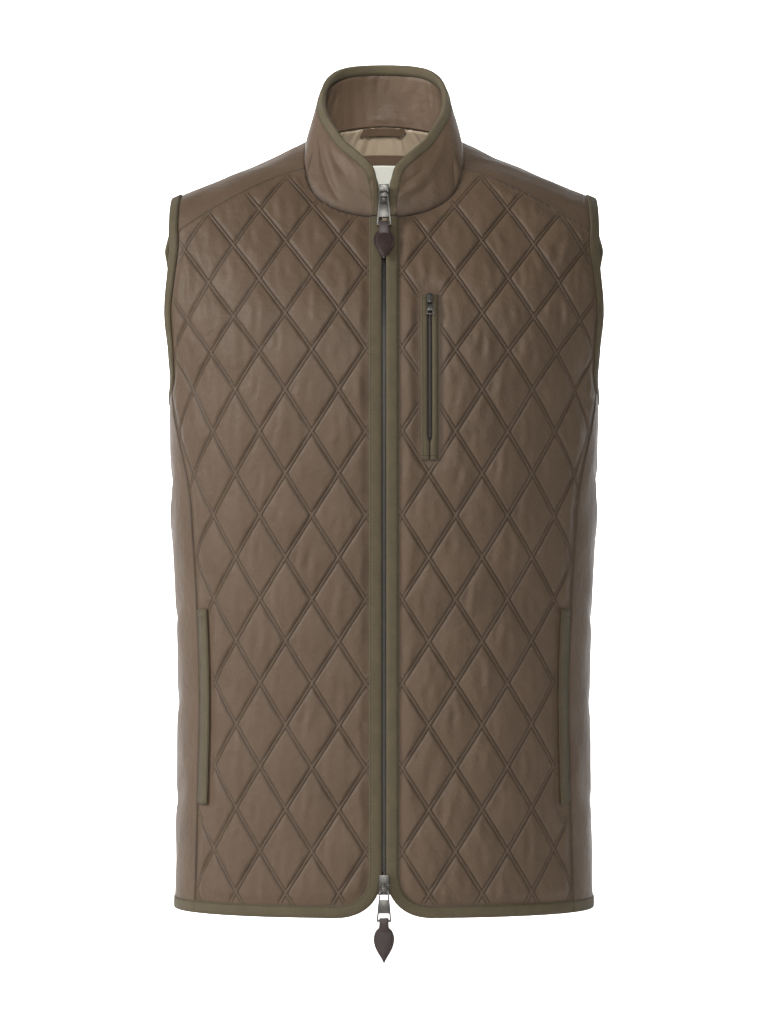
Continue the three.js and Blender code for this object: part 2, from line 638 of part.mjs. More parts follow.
function yokeWall(s, t, inner) {
  const out = inner ? -WALL_IN : WALL_OUT;
  const toBack = (2 * Math.min(s, 1 - s) - YOKE_TURN) / (1 - YOKE_TURN);
  if (t === 1 && toBack > -0.01) {
    const p = BODY.back(lerp(armBack[0], 0, toBack), armBack[1] + JOIN_GAP, out).point;
    return s > 0.5 ? flipped(p) : p;
  }
  if (s > 0 && s < 1) {
    const { point } = yokeSurface(s, t, out);
    const inwards = t === 0 ? yokeAt(s, 0.1).sub(yokeAt(s, 0)).setLength(JOIN_GAP) : V(0, 0, 0);
    return point.add(inwards);
  }
  const at = seamStations[Math.round(t * YOKE_ROWS)];
  const p = at.point.clone().addScaledVector(at.inward, -JOIN_GAP).addScaledVector(at.normal, out);
  if (t === 0) p.x += JOIN_GAP;
  return s ? flipped(p) : p;
}
add("yoke", wall(YOKE_COLUMNS, YOKE_ROWS, yokeWall), BROWN);

// Collar
const COLLAR_COLUMNS = 34;
const COLLAR_ROWS = 3;
const baseCurve = new THREE.CatmullRomCurve3(bothSides(COLLAR.map(baseAt)));
const topCurve = new THREE.CatmullRomCurve3(
  bothSides(COLLAR.map((row) => V(row.topX, row.topY, row.topZ))),
);
function collarAt(s, t) {
  const [low, high] = [baseCurve.getPoint(s), topCurve.getPoint(s)];
  const p = mix(low, high, t).addScaledVector(high.sub(low).normalize(), JOIN_GAP * (1 - t));
  const outward = V(p.x, p.y - 5, 0).normalize();
  return p.addScaledVector(outward, COLLAR_BELLY * 4 * t * (1 - t) * Math.sin(Math.PI * s));
}
function collarSurface(s, t, out = 0) {
  const probe = 0.01;
  const ds = collarAt(Math.min(1, s + probe), t).sub(collarAt(Math.max(0, s - probe), t));
  const dt = collarAt(s, Math.min(1, t + probe)).sub(collarAt(s, Math.max(0, t - probe)));
  const normal = ds.cross(dt).normalize();
  return { point: collarAt(s, t).addScaledVector(normal, out), normal };
}
add(
  "collar",
  wall(COLLAR_COLUMNS, COLLAR_ROWS, (s, t, inner) =>
    collarSurface(s, t, inner ? -COLLAR_THICK : 0).point,
  ),
  BROWN,
);

// Braid round the edges, as a fold over both faces of a wall. It stands off further on tight curves.
const CURVE_ROOM = 1.05;
function fold(wallOut, wallIn, room = 0) {
  const { leg, innerLeg, thick, innerGap } = BRAID;
  const edgeGap = BRAID.edgeGap + room;
  const [top, under] = [wallOut + SEAM_GAP + room, -wallIn - innerGap - room];
  return [
    [leg, top],
    [-edgeGap - thick, top + thick],
    [-edgeGap - thick, under - thick],
    [innerLeg, under],
    [-edgeGap, under],
    [-edgeGap, top],
  ];
}
const PANEL_FOLD = fold(WALL_OUT, WALL_IN);
const ARM_FOLD = fold(WALL_OUT, WALL_IN, CURVE_ROOM);
const COLLAR_FOLD = fold(0, COLLAR_THICK + CURVE_ROOM, CURVE_ROOM);
const UP = [0, 1];

for (const [name, sign] of SIDES) {
  const edge = stations(BODY.front, frontEdgeLine, sign);
  add(`binding_front_${name}`, carried(edge, PANEL_FOLD), OLIVE);

  const overYoke = steps(7, (s) => s).slice(1, -1).map((s) => {
    const { point, normal } = yokeSurface((s * YOKE_TURN) / 2, 1);
    const inward = yokeAt((s * YOKE_TURN) / 2, 0.97).sub(point).normalize();
    for (const v of [point, inward, normal]) v.x *= sign;
    return { point, inward, normal };
  });
  const under = sideTops.slice(1, -1).map((top) => {
    const at = station(BODY.front, [top.across, upAt("front", top.z)], [0, -1], sign);
    return at;
  });
  const loop = [
    ...stations(BODY.front, arm.front, sign),
    ...overYoke,
    ...reversed(stations(BODY.back, arm.back, sign)),
    ...reversed(under),
  ];
  add(`binding_armhole_${name}`, carried(loop, ARM_FOLD, true), OLIVE);
}

const sideHem = (sign) =>
  steps(SIDE_COLUMNS, (s) => station(BODY.front, sidePoint(s, 0), UP, sign));
const backHem = backHemLine.map((at) => station(BODY.back, at, UP));
const backHemAround = reversed(backHem).concat(
  backHem.slice(1).map(({ point, inward, normal }) => ({
    point: flipped(point),
    inward: flipped(inward),
    normal: flipped(normal),
  })),
);
add(
  "binding_hem",
  carried([...sideHem(1), ...backHemAround, ...reversed(sideHem(-1))], PANEL_FOLD),
  OLIVE,
);

const collarEdge = [];
for (const t of [0.12, 0.55]) collarEdge.push([0, t]);
for (let i = 0; i <= COLLAR_COLUMNS; i++) collarEdge.push([i / COLLAR_COLUMNS, 1]);
for (const t of [0.55, 0.12]) collarEdge.push([1, t]);
const collarStations = collarEdge.map(([s, t], i) => {
  const { point, normal } = collarSurface(s, t);
  const [before, after] = [collarEdge[Math.max(0, i - 1)], collarEdge[i + 1] || [s, t]];
  const tangent = collarAt(...after).sub(collarAt(...before)).normalize();
  return { point, inward: tangent.cross(normal).normalize(), normal };
});
add("binding_collar", carried(collarStations, COLLAR_FOLD), OLIVE);

// Front zip: the closed teeth and a tape behind each front edge
const frontZip = (topZ, bottomZ) => {
  const between = edgeHeights().filter((z) => z < topZ - 2 && z > bottomZ + 2);
  return [topZ, ...between, bottomZ].map((z) => {
    if (z < NECK.frontZ) return station(BODY.front, onFace("front", 0.01, z), [1, 0]);
    return { point: V(0, collarAt(0, 0).y, z), inward: V(1, 0, 0), normal: V(0, -1, 0) };
  });
};
const tapeOut = -WALL_IN - BRAID.innerGap - BRAID.thick - SEAM_GAP;
const chainOut = [tapeOut + SEAM_GAP, tapeOut + SEAM_GAP + ZIP.thick];
const chainStations = frontZip(ZIP.topZ, ZIP.bottomZ);
add("zip_teeth", carried(chainStations, slat(-ZIP.half, ZIP.half, ...chainOut)), METAL);
for (const [name, sign] of SIDES) {
  const tape = frontZip(NECK.frontZ - 2, ZIP.bottomZ - 14);
  const section = slat(sign * SEAM_GAP, sign * ZIP.tape, tapeOut - ZIP.tapeThick, tapeOut);
  add(`zip_tape_${name}`, carried(tape, section), DARK);
}

// Sliders and their pulls, made upright in front of x = 0, then laid on the vest
function extruded(shape, depth) {
  return new THREE.ExtrudeGeometry(shape, { depth, bevelEnabled: false, curveSegments: 5 });
}
function bar(width, low, high, back, front) {
  const geometry = new THREE.BoxGeometry(width, front - back, high - low);
  return geometry.translate(0, -(front + back) / 2, (low + high) / 2);
}
// A ring or disc about an axis along X, at a distance out
function round(radius, half, out, bore = 0) {
  const shape = new THREE.Shape();
  shape.absarc(0, 0, radius, 0, 2 * Math.PI, false);
  if (bore) {
    const hole = new THREE.Path();
    hole.absarc(0, 0, bore, 0, 2 * Math.PI, true);
    shape.holes.push(hole);
  }
  return extruded(shape, 2 * half).translate(0, 0, -half).rotateY(Math.PI / 2).translate(0, -out, 0);
}
function joined(pieces) {
  const whole = pieces.map(solidOf).reduce((sum, piece) => sum.add(piece));
  const mesh = whole.getMesh();
  const points = [];
  for (let i = 0; i < mesh.numVert; i++)
    points.push(V(...mesh.vertProperties.slice(i * mesh.numProp, i * mesh.numProp + 3)));
  return closed(points, [...mesh.triVerts]);
}
function sliderShape(pinDrop, neckFrom = -SLIDER.neckBack) {
  const plateTop = SLIDER.front + SLIDER.plate;
  const ear = (side) =>
    bar(PIN.ear, -PIN.radius - 0.8, PIN.radius + 0.8, plateTop - 0.4, PIN.out)
      .translate(side * (PIN.half - PIN.ear / 2), 0, 0);
  return joined([
    bar(2 * SLIDER.half, pinDrop - SLIDER.tall, pinDrop, SLIDER.front, plateTop),
    bar(2 * SLIDER.neckHalf, pinDrop - SLIDER.tall + 1, pinDrop - 1, neckFrom, SLIDER.front + 1),
    round(PIN.radius + 0.8, PIN.ear / 2, PIN.out).translate(PIN.half - PIN.ear / 2, 0, 0),
    round(PIN.radius + 0.8, PIN.ear / 2, PIN.out).translate(PIN.ear / 2 - PIN.half, 0, 0),
    ear(1),
    ear(-1),
    round(PIN.radius, PIN.half - 0.2, PIN.out),
  ]);
}
// An outline in X and Z with a thickness, hung in front of x = 0
function plate(outline, thick, hole) {
  const shape = new THREE.Shape(outline.map(([x, z]) => new THREE.Vector2(x, z)));
  if (hole) shape.holes.push(new THREE.Path(hole.map(([x, z]) => new THREE.Vector2(x, z))));
  return extruded(shape, thick).rotateX(Math.PI / 2).translate(0, thick / 2, 0);
}
const EYE = { bore: PIN.radius + PIN.clearance, radius: PIN.radius + PIN.clearance + 0.9 };
const eyeHalf = PIN.half - PIN.ear - 0.35;
const windowTop = -TAB.long + TAB.bar + TAB.window;
function tabShape() {
  const start = -PIN.radius - 2.2;
  const inside = TAB.bottom - 2;
  return joined([
    round(EYE.radius, eyeHalf, 0, EYE.bore),
    plate([[-2.2, start - 1], [2.2, start - 1], [2.2, -EYE.bore - 0.5], [-2.2, -EYE.bore - 0.5]], TAB.thick),
    plate(
      [[-TAB.bottom, -TAB.long], [TAB.bottom, -TAB.long], [TAB.top, start], [-TAB.top, start]],
      TAB.thick,
      [[-inside, windowTop], [inside, windowTop], [inside, TAB.bar - TAB.long], [-inside, TAB.bar - TAB.long]],
    ),
  ]);
}
function leafShape(bend) {
  const around = TAB.thick / 2 + SEAM_GAP;
  const outside = around + LEAF.thick / 2;
  const high = TAB.bar - TAB.long + SEAM_GAP;
  const low = -TAB.long - SEAM_GAP;
  const loop = new THREE.Shape([
    new THREE.Vector2(low - LEAF.neckLong, -outside / 2),
    new THREE.Vector2(low - 2, -outside),
    new THREE.Vector2(high + 1.2, -outside),
    new THREE.Vector2(high + 1.2, outside),
    new THREE.Vector2(low - 2, outside),
    new THREE.Vector2(low - LEAF.neckLong, outside / 2),
  ]);
  loop.holes.push(
    new THREE.Path([
      new THREE.Vector2(low, -around),
      new THREE.Vector2(low, around),
      new THREE.Vector2(high, around),
      new THREE.Vector2(high, -around),
    ]),
  );
  const neck = extruded(loop, 2 * LEAF.neck).translate(0, 0, -LEAF.neck);
  neck.applyMatrix4(new THREE.Matrix4().makeBasis(V(0, 0, 1), V(0, -1, 0), V(1, 0, 0)));
  const edge = LEAF_OUTLINE.map(({ down, half }) => [half, -down]);
  const leaf = plate([...edge, ...reversed(edge).map(([x, z]) => [-x, z])], LEAF.thick);
  leaf.rotateX(-bend).translate(0, 0, low - LEAF.neckLong + LEAF.overlap);
  return joined([neck, leaf]);
}
const degrees = Math.PI / 180;
function zipPull(name, { pinZ, pinDrop, turn, leafTurn }, surfaceY) {
  add(`slider_${name}`, sliderShape(pinDrop).translate(0, surfaceY, pinZ), METAL);
  const tab = tabShape().rotateX(-turn * degrees).translate(0, surfaceY - PIN.out, pinZ);
  add(`pull_tab_${name}`, tab, METAL);
  const leaf = leafShape((leafTurn - turn) * degrees).rotateX(-turn * degrees);
  add(`pull_leather_${name}`, leaf.translate(0, surfaceY - PIN.out, pinZ), LEATHER);
}
zipPull("top", TOP_SLIDER, collarAt(0, 0).y);
zipPull("bottom", BOTTOM_SLIDER, BODY.front(...onFace("front", 0.01, -700)).point.y);

// Chest pocket on the wearer's left: two lips over a closed zip with a small slider and pull
const chestStations = stations(BODY.front, chestLine);
const lipInner = CHEST.slot / 2;
const lipOuter = lipInner + CHEST.lip;
const lipTop = ON_TOP + CHEST.lipThick;
const chestTape = { half: lipInner - SEAM_GAP, top: ON_TOP + 0.7 };
add("chest_lip_inner", carried(chestStations, slat(-lipOuter, -lipInner, ON_TOP, lipTop)), BROWN);
add("chest_lip_outer", carried(chestStations, slat(lipInner, lipOuter, ON_TOP, lipTop)), BROWN);
add(
  "chest_zip",
  carried(chestStations, slat(-chestTape.half, chestTape.half, ON_TOP, chestTape.top)),
  DARK,
);
function onChest(geometry) {
  const { point, inward, normal } = station(
    BODY.front,
    onFace("front", chestCentre, CHEST_SLIDER.pinZ),
    [1, 0],
  );
  const up = normal.clone().cross(inward);
  const back = normal.clone().negate();
  const place = new THREE.Matrix4().makeBasis(inward, back, up);
  const seat = point.addScaledVector(normal, CHEST_SLIDER.out);
  const size = CHEST_SLIDER.scale;
  return geometry.scale(size, size, size).applyMatrix4(place.setPosition(seat));
}
const chestNeck = (chestTape.top + SEAM_GAP - CHEST_SLIDER.out) / CHEST_SLIDER.scale;
add("slider_chest", onChest(sliderShape(CHEST_SLIDER.pinDrop, chestNeck)), METAL);
add(
  "pull_tab_chest",
  onChest(tabShape().rotateX(-CHEST_SLIDER.turn * degrees).translate(0, -PIN.out, 0)),
  METAL,
);

// Hip pockets: a welt of braid on each front
for (const [name, sign] of SIDES) {
  const welt = slat(0, HIP.wide, ON_TOP, ON_TOP + HIP.thick);
  add(`pocket_welt_${name}`, carried(stations(BODY.front, hipLine, sign), welt), OLIVE);
}

// Inside the back of the neck: lining, facing band, label and hanger loop, laid on the yoke
const INSIDE = [
  { name: "lining_back", from: 0.3, t0: 0.03, t1: 0.93, out: -3, thick: 1, columns: 16, rows: 4 },
  { name: "facing_band", from: 0.34, t0: 0.23, t1: 0.32, out: -4.9, thick: 0.8, columns: 14, rows: 1 },
  { name: "label", from: 0.45, t0: 0.31, t1: 0.66, out: -6.1, thick: 0.8, columns: 4, rows: 3 },
  { name: "hanger_loop", from: 0.455, t0: 0.04, t1: 0.1, out: -4.7, thick: 1, columns: 4, rows: 1 },
];
const insideColours = { lining_back: PALE, facing_band: BROWN, label: CREAM, hanger_loop: BROWN };
for (const { name, from, t0, t1, out, thick, columns, rows } of INSIDE) {
  const at = (s, t, inner) =>
    yokeSurface(lerp(from, 1 - from, s), lerp(t0, t1, t), out - inner * thick).point;
  add(name, wall(columns, rows, at), insideColours[name]);
}

export default vest;
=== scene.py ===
# Quilted vest with a stand collar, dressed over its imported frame.
# Distances are worked out in millimetres and turned to metres where a mesh is made.
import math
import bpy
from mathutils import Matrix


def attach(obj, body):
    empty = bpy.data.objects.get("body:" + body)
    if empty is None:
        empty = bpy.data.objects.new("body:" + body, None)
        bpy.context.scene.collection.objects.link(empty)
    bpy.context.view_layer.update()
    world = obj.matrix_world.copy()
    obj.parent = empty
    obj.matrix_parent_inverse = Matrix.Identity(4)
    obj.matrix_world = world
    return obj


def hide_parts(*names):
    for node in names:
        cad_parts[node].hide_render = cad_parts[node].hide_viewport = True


bl_info = {
    "name": "Quilted Vest",
    "version": (1, 0, 0),
    "blender": (4, 5, 0),
    "location": "3D View > Sidebar > Vest",
    "description": "Models a quilted vest with braid, zip and leather pulls over its frame",
    "category": "Object",
}

import bmesh
import bpy
import numpy as np
from mathutils import Matrix, Vector

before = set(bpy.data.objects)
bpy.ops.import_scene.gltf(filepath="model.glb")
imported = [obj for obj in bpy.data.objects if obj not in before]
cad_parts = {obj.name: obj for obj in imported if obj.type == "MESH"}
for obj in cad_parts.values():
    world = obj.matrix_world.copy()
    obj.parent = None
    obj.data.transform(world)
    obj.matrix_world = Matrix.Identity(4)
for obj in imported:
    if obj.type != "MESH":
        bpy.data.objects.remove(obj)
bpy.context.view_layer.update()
MM = 0.001

# Body: level sections of the filled-out vest, from the hem to the shoulder
LEVELS = {
    "z": [-745, -610, -520, -430, -350, -262, -225, -203, -165, -130, -84, -50, -15],
    "half": [202.5, 199, 197.5, 200, 204, 207, 208, 214.5, 225, 229, 235, 241, 248],
    "front": [127, 126, 126, 127.5, 130.5, 132, 130.5, 128, 120, 106, 80, 57, 30],
    "back": [125, 119, 114, 112, 116, 124, 127, 128, 127.5, 123, 110, 96, 82],
}
SQUARENESS = 2.3
HEM_Z = -730.5
BELOW_HEM = 12
TOP_Z = -15
EDGE_X = 4
NECK_FRONT_Z = -69
NECK_SIDE_X = 76
NECK_SIDE_Z = -20
NECK_SQUARENESS = 2.15
SHOULDER_CURVE = 1.35
CORNER_ACROSS = 44
CORNER_UP = 42
CORNER_SQUARENESS = 2.35
BACK_SEAM_Z = -95
SIDE_SEAM = {
    "z": [-745, -350, -322, -298, -271, -245, -220],
    "front": [73, 72, 68, 60, 48, 36, 29],
    "back": [66, 64, 62, 57, 49, 41, 35],
}
ARM_Z = -165
ARM_REACH = {"front": 54, "back": 60}
ARM_BOTTOM_Z = -238
ARM_TOP_Z = -45
ARM_SQUARENESS = 3.1
ARM_ENDS = {"front": (-226, -86), "back": (-224, BACK_SEAM_Z)}
SHOULDER_TIP = (203.5, 3, -47)
OVER_SHOULDER = (204.5, -28, -60)
BEHIND_SHOULDER = (205, 35, -63)

# Collar: neck seam and upper edge, from the centre front round to the centre back
COLLAR_SEAM_X = [5.2, 14, 30, 50, 67, 76]
COLLAR_SEAM = [(75, 6, 5), (67, 36, 17), (44, 62, 27), (0, 77, 33)]
COLLAR_TOP = [
    (8, -67, -36),
    (13, -65, -21),
    (27, -57.5, -6.5),
    (40, -45, 5.5),
    (50, -28, 21),
    (57, -12, 34),
    (61, 7, 50),
    (57, 31, 70),
    (41, 55, 84),
    (0, 70, 89),
]
COLLAR_THICK = 3.6
COLLAR_BELLY = 2
COLLAR_TUCK = 2.2
COLLAR_TUCK_FROM = 0.28
COLLAR_TUCK_OVER = 0.08
COLLAR_ROUND = 400
COLLAR_HIGH = 62
YOKE_TURN = 14 / 30
YOKE_NECK_TURN = 0.3
YOKE_BELLY = 7
JOIN_GAP = 0.6
WALL_IN = 2.2
WALL_OUT = 0.25

# Quilting, stitched by two needles side by side
QUILT_UP = 21
FRONT_START = 17
NEEDLE_GAP = 1.6
VALLEY = 0.2
RIDGE = 1.25
# Roundness of a pillow between its rows, and how far the cloth may move sideways
FULL_POWER = 0.36
SIDEWAYS_MOST = 2.5
# Places of a panel's points beside a row, and the way from a row to a diamond's middle
BESIDE_LINE = [2.7, 4.4, 7.1, 10.5, 14.1, 17.8]
LINE_TO_MIDDLE = 21.4
# Above the pocket the diamonds sink towards the armhole
QUILT_SAG = 0.075
SAG_FROM = 490
SAG_OVER = 120
# Long folds in a diamond: reach of their place across, middle height, half length and depth
FOLD_PLACE = (-14, 5)
FOLD_MIDDLE = (-9, 15)
FOLD_REACH = (9, 18)
FOLD_DEEP = (0.5, 2.2)
FOLD_SHARE = 0.65
FOLD_BOW = 0.02
FOLD_WIDE = 2.3

# Pockets, zip and pulls
CHEST_X = 43
CHEST_TOP_Z = -145
CHEST_MIDDLE_Z = -220.0
CHEST_BOTTOM_Z = -301
CHEST_LIP = 5.7
CHEST_SLOT = 4.6
HIP_WIDE = 14
HIP_TOP_Z = -443
HIP_BOTTOM_Z = -628
HIP_FROM_SEAM = 1.6
HIP_SEAM_OUT = 2.4
# Flat width under braid that holds the padding down, and the fades beside it
BRAID_HOLD = 9.6
EDGE_FADE = 9
ARM_FADE = 8
ZIP_TOP_Z = -56
ZIP_BOTTOM_Z = -689
ZIP_TAPE = 12
PIN_OUT = 7.5
TAB_LONG = 34
LEAF_LONG = 33
SIDES = (("right", -1), ("left", 1))


def table_at(rows, column, at):
    """A smooth curve through a column of a table, read at heights."""
    z = np.asarray(rows["z"], float)
    values = np.asarray(rows[column], float)
    at = np.asarray(at, float)
    last = len(z) - 1
    before = np.maximum(np.arange(last + 1) - 1, 0)
    after = np.minimum(np.arange(last + 1) + 1, last)
    slopes = (values[after] - values[before]) / (z[after] - z[before])
    i = np.clip(np.searchsorted(z, at, side="right") - 1, 0, last - 1)
    span = z[i + 1] - z[i]
    t = np.clip((at - z[i]) / span, 0, 1)
    rise = values[i + 1] - values[i]
    m0 = slopes[i] * span
    m1 = slopes[i + 1] * span
    return values[i] + t * m0 + t * t * (3 * rise - 2 * m0 - m1) + t**3 * (m0 + m1 - 2 * rise)


def unit(vectors):
    """Each row at length 1."""
    return vectors / np.linalg.norm(vectors, axis=1)[:, None]


def walked(line):
    """Length along a line up to each of its points."""
    return np.concatenate([[0], np.cumsum(np.linalg.norm(np.diff(line, axis=0), axis=1))])


ANGLES = np.linspace(0, math.pi / 2, 161)
SINES = np.sin(ANGLES) ** (2 / SQUARENESS)
COSINES = np.maximum(0, np.cos(ANGLES)) ** (2 / SQUARENESS)


def quarter(face, z):
    """A quarter of each level section: x, y and length from the centre line."""
    z = np.atleast_1d(np.asarray(z, float))
    x = table_at(LEVELS, "half", z)[:, None] * SINES
    y = table_at(LEVELS, face, z)[:, None] * COSINES
    length = np.cumsum(np.hypot(np.diff(x, axis=1), np.diff(y, axis=1)), axis=1)
    return x, y, np.hstack([np.zeros((len(z), 1)), length])


def row_interp(keys, values, at):
    """Reads each row of values where that row of keys reaches at."""
    last = keys.shape[1] - 1
    i = np.clip((keys < at[:, None]).sum(1), 1, last)
    rows = np.arange(len(at))
    k0 = keys[rows, i - 1]
    k1 = keys[rows, i]
    t = (at - k0) / np.maximum(k1 - k0, 1e-9)
    return values[rows, i - 1] + (values[rows, i] - values[rows, i - 1]) * t


def section_points(face, across, z):
    """Points of the body at distances across from the centre line of a face."""
    across, z = (np.ravel(v).astype(float) for v in np.broadcast_arrays(across, z))
    facing = -1 if face == "front" else 1
    x, y, length = quarter(face, z)
    distance = np.abs(across)
    px = row_interp(length, x, distance)
    py = facing * row_interp(length, y, distance)
    beyond = distance > length[:, -1]
    if beyond.any():
        ox, oy, other = quarter("back" if face == "front" else "front", z[beyond])
        rest = other[:, -1] + length[beyond, -1] - distance[beyond]
        px[beyond] = row_interp(other, ox, rest)
        py[beyond] = -facing * row_interp(other, oy, rest)
    return np.stack([np.where(across < 0, -px, px), py, z], 1)


def rise_rows(face):
    """Length up the centre line of a face from the hem."""
    z = np.arange(HEM_Z - BELOW_HEM, TOP_Z + 6, 3.0)
    depth = table_at(LEVELS, face, z)
    up = np.concatenate([[0], np.cumsum(np.hypot(np.diff(z), np.diff(depth)))]) - BELOW_HEM
    return z, up


RISE = {face: rise_rows(face) for face in ("front", "back")}


def height_at(face, up):
    return np.interp(up, RISE[face][1], RISE[face][0])


def up_at(face, z):
    return np.interp(z, RISE[face][0], RISE[face][1])


def smooth_surface(points_at, facing, probe=1.2):
    """Turns a function of two distances into one that gives points and normals."""

    def surface(a, b, out=0.0):
        da = points_at(a + probe, b) - points_at(a - probe, b)
        db = points_at(a, b + probe) - points_at(a, b - probe)
        normal = unit(np.cross(da, db) * facing)
        return points_at(a, b) + normal * np.reshape(out, (-1, 1)), normal

    return surface


BODY = {
    "front": smooth_surface(lambda a, b: section_points("front", a, height_at("front", b)), 1),
    "back": smooth_surface(lambda a, b: section_points("back", a, height_at("back", b)), -1),
}


def quarter_length(face, z):
    return quarter(face, z)[2][:, -1]


def on_face(face, across, z):
    across, z = np.broadcast_arrays(np.asarray(across, float), np.asarray(z, float))
    return np.stack([across.ravel(), up_at(face, z).ravel()], 1)


def by_x(face, x, z):
    x, z = (np.ravel(v).astype(float) for v in np.broadcast_arrays(x, z))
    xs, _, length = quarter(face, z)
    return on_face(face, row_interp(xs, length, x), z)


def seam_across(face, z):
    return quarter_length(face, z) - table_at(SIDE_SEAM, face, z)


def arm_reach(face, z):
    z = np.asarray(z, float)
    fall = np.clip((ARM_Z - z) / (ARM_Z - ARM_BOTTOM_Z), 0, 1)
    climb = np.clip((z - ARM_Z) / (ARM_TOP_Z - ARM_Z), 0, 1)
    low = np.sqrt(1 - fall**2)
    high = np.sqrt(1 - climb**ARM_SQUARENESS)
    return ARM_REACH[face] * np.where(z < ARM_Z, low, high)


def arm_points(face, z):
    z = np.atleast_1d(np.asarray(z, float))
    _, y, length = quarter(face, z)
    return on_face(face, row_interp(-y, length, -arm_reach(face, z)), z)


def under_arm(share):
    """Depth and height of the armhole's edge over a side panel."""
    front = -arm_reach("front", ARM_ENDS["front"][0])
    y = front + (arm_reach("back", ARM_ENDS["back"][0]) - front) * share
    reach = np.where(y < 0, ARM_REACH["front"], ARM_REACH["back"])
    return y, ARM_Z - (ARM_Z - ARM_BOTTOM_Z) * np.sqrt(1 - (y / reach) ** 2)


def across_at(y, z):
    """Distance across from the front's centre line to the body's side at a depth."""
    _, ys, length = quarter("front", z)
    _, yb, length_back = quarter("back", z)
    before = row_interp(-ys, length, -np.abs(y))
    behind = length[:, -1] + length_back[:, -1] - row_interp(-yb, length_back, -np.abs(y))
    return np.where(y < 0, before, behind)


def neck_height(x):
    aside = np.clip((x - EDGE_X) / (NECK_SIDE_X - EDGE_X), 0, 1) ** NECK_SQUARENESS
    fall = (1 - aside) ** (1 / NECK_SQUARENESS)
    return NECK_SIDE_Z + (NECK_FRONT_Z - NECK_SIDE_Z) * fall


def lerp(a, b, t):
    return a + (b - a) * t


def evened(line, step=2.5):
    """A line read again at even steps."""
    line = np.asarray(line, float)
    length = walked(line)
    at = np.linspace(0, length[-1], max(2, int(round(length[-1] / step)) + 1))
    return np.stack([np.interp(at, length, line[:, k]) for k in range(line.shape[1])], 1)


def joined_line(*parts):
    line = [parts[0]]
    for part in parts[1:]:
        line.append(part[1:] if np.allclose(part[0], line[-1][-1], atol=0.5) else part)
    return np.vstack(line)


# Seams and edges as lines on the flat: distances across and up
turn = np.linspace(0, math.pi / 2, 40)
corner_x = EDGE_X + CORNER_ACROSS * (1 - np.maximum(0, np.cos(turn)) ** (2 / CORNER_SQUARENESS))
corner_z = HEM_Z + CORNER_UP * (1 - np.sin(turn) ** (2 / CORNER_SQUARENESS))
corner_line = by_x("front", corner_x, corner_z)
edge_line = by_x("front", EDGE_X, np.linspace(NECK_FRONT_Z, HEM_Z + CORNER_UP, 200))
hem_seam = seam_across("front", HEM_Z)[0]
front_hem = on_face("front", np.linspace(corner_line[-1, 0], hem_seam, 60), HEM_Z)
FRONT_EDGE = joined_line(edge_line, corner_line, front_hem)


def side_line(face):
    z = np.linspace(HEM_Z, ARM_ENDS[face][0], 160)
    return on_face(face, seam_across(face, z), z)


ARM = {
    face: arm_points(face, np.linspace(ends[0], ends[1], 70)) for face, ends in ARM_ENDS.items()
}
SIDE = {face: joined_line(side_line(face)[:-1], ARM[face][:1]) for face in ARM_ENDS}
yoke_end = BODY["front"](ARM["front"][-1:, 0], ARM["front"][-1:, 1])[0][0]
seam_share = np.linspace(0, 1, 50)
SHOULDER = by_x(
    "front",
    lerp(NECK_SIDE_X, yoke_end[0], seam_share),
    lerp(NECK_SIDE_Z, ARM_ENDS["front"][1], seam_share**SHOULDER_CURVE),
)
neck_share = np.sin(np.linspace(math.pi / 2, 0, 60)) ** (2 / NECK_SQUARENESS)
neck_xs = EDGE_X + (NECK_SIDE_X - EDGE_X) * neck_share
NECKLINE = by_x("front", neck_xs, neck_height(neck_xs))
FRONT_OUTLINE = np.vstack(
    [FRONT_EDGE, SIDE["front"][1:], ARM["front"][1:], SHOULDER[::-1][1:], NECKLINE[1:-1]]
)
back_top = np.stack(
    [np.linspace(ARM["back"][-1, 0], 0, 70), np.full(70, ARM["back"][-1, 1])], 1
)
BACK_HEM = np.stack([np.linspace(0, SIDE["back"][0, 0], 80), np.zeros(80)], 1)
half_back = np.vstack([BACK_HEM, SIDE["back"][1:], ARM["back"][1:], back_top[1:]])
BACK_OUTLINE = np.vstack([half_back, half_back[1:-1][::-1] * (-1, 1)])
chest_across = by_x("front", CHEST_X, CHEST_MIDDLE_Z)[0, 0]
CHEST_LINE = on_face("front", chest_across, np.linspace(CHEST_TOP_Z, CHEST_BOTTOM_Z, 64))
hip_z = np.linspace(HIP_BOTTOM_Z, HIP_TOP_Z, 76)
HIP_LINE = on_face("front", seam_across("front", hip_z) - HIP_FROM_SEAM, hip_z)


class Curve:
    """A centripetal curve through points, read by parameter or by share of its length."""

    def __init__(self, points):
        self.points = np.asarray(points, float)
        self.shares = np.linspace(0, 1, 201)
        self.lengths = walked(self.at(self.shares))

    def at(self, t):
        p = self.points
        count = len(p)
        place = np.clip(np.atleast_1d(t), 0, 1) * (count - 1)
        i = np.minimum(place.astype(int), count - 2)
        w = (place - i)[:, None]
        padded = np.vstack([2 * p[0] - p[1], p, 2 * p[-1] - p[-2]])
        p0, p1, p2, p3 = (padded[i + k] for k in range(4))
        d0, d1, d2 = (
            np.sqrt(np.linalg.norm(b - a, axis=1))[:, None]
            for a, b in ((p0, p1), (p1, p2), (p2, p3))
        )
        m1 = ((p1 - p0) / d0 - (p2 - p0) / (d0 + d1) + (p2 - p1) / d1) * d1
        m2 = ((p2 - p1) / d1 - (p3 - p1) / (d1 + d2) + (p3 - p2) / d2) * d1
        c2 = -3 * p1 + 3 * p2 - 2 * m1 - m2
        c3 = 2 * p1 - 2 * p2 + m1 + m2
        return p1 + m1 * w + c2 * w**2 + c3 * w**3

    def along(self, share):
        share = np.clip(np.atleast_1d(share), 0, 1)
        return self.at(np.interp(share * self.lengths[-1], self.lengths, self.shares))


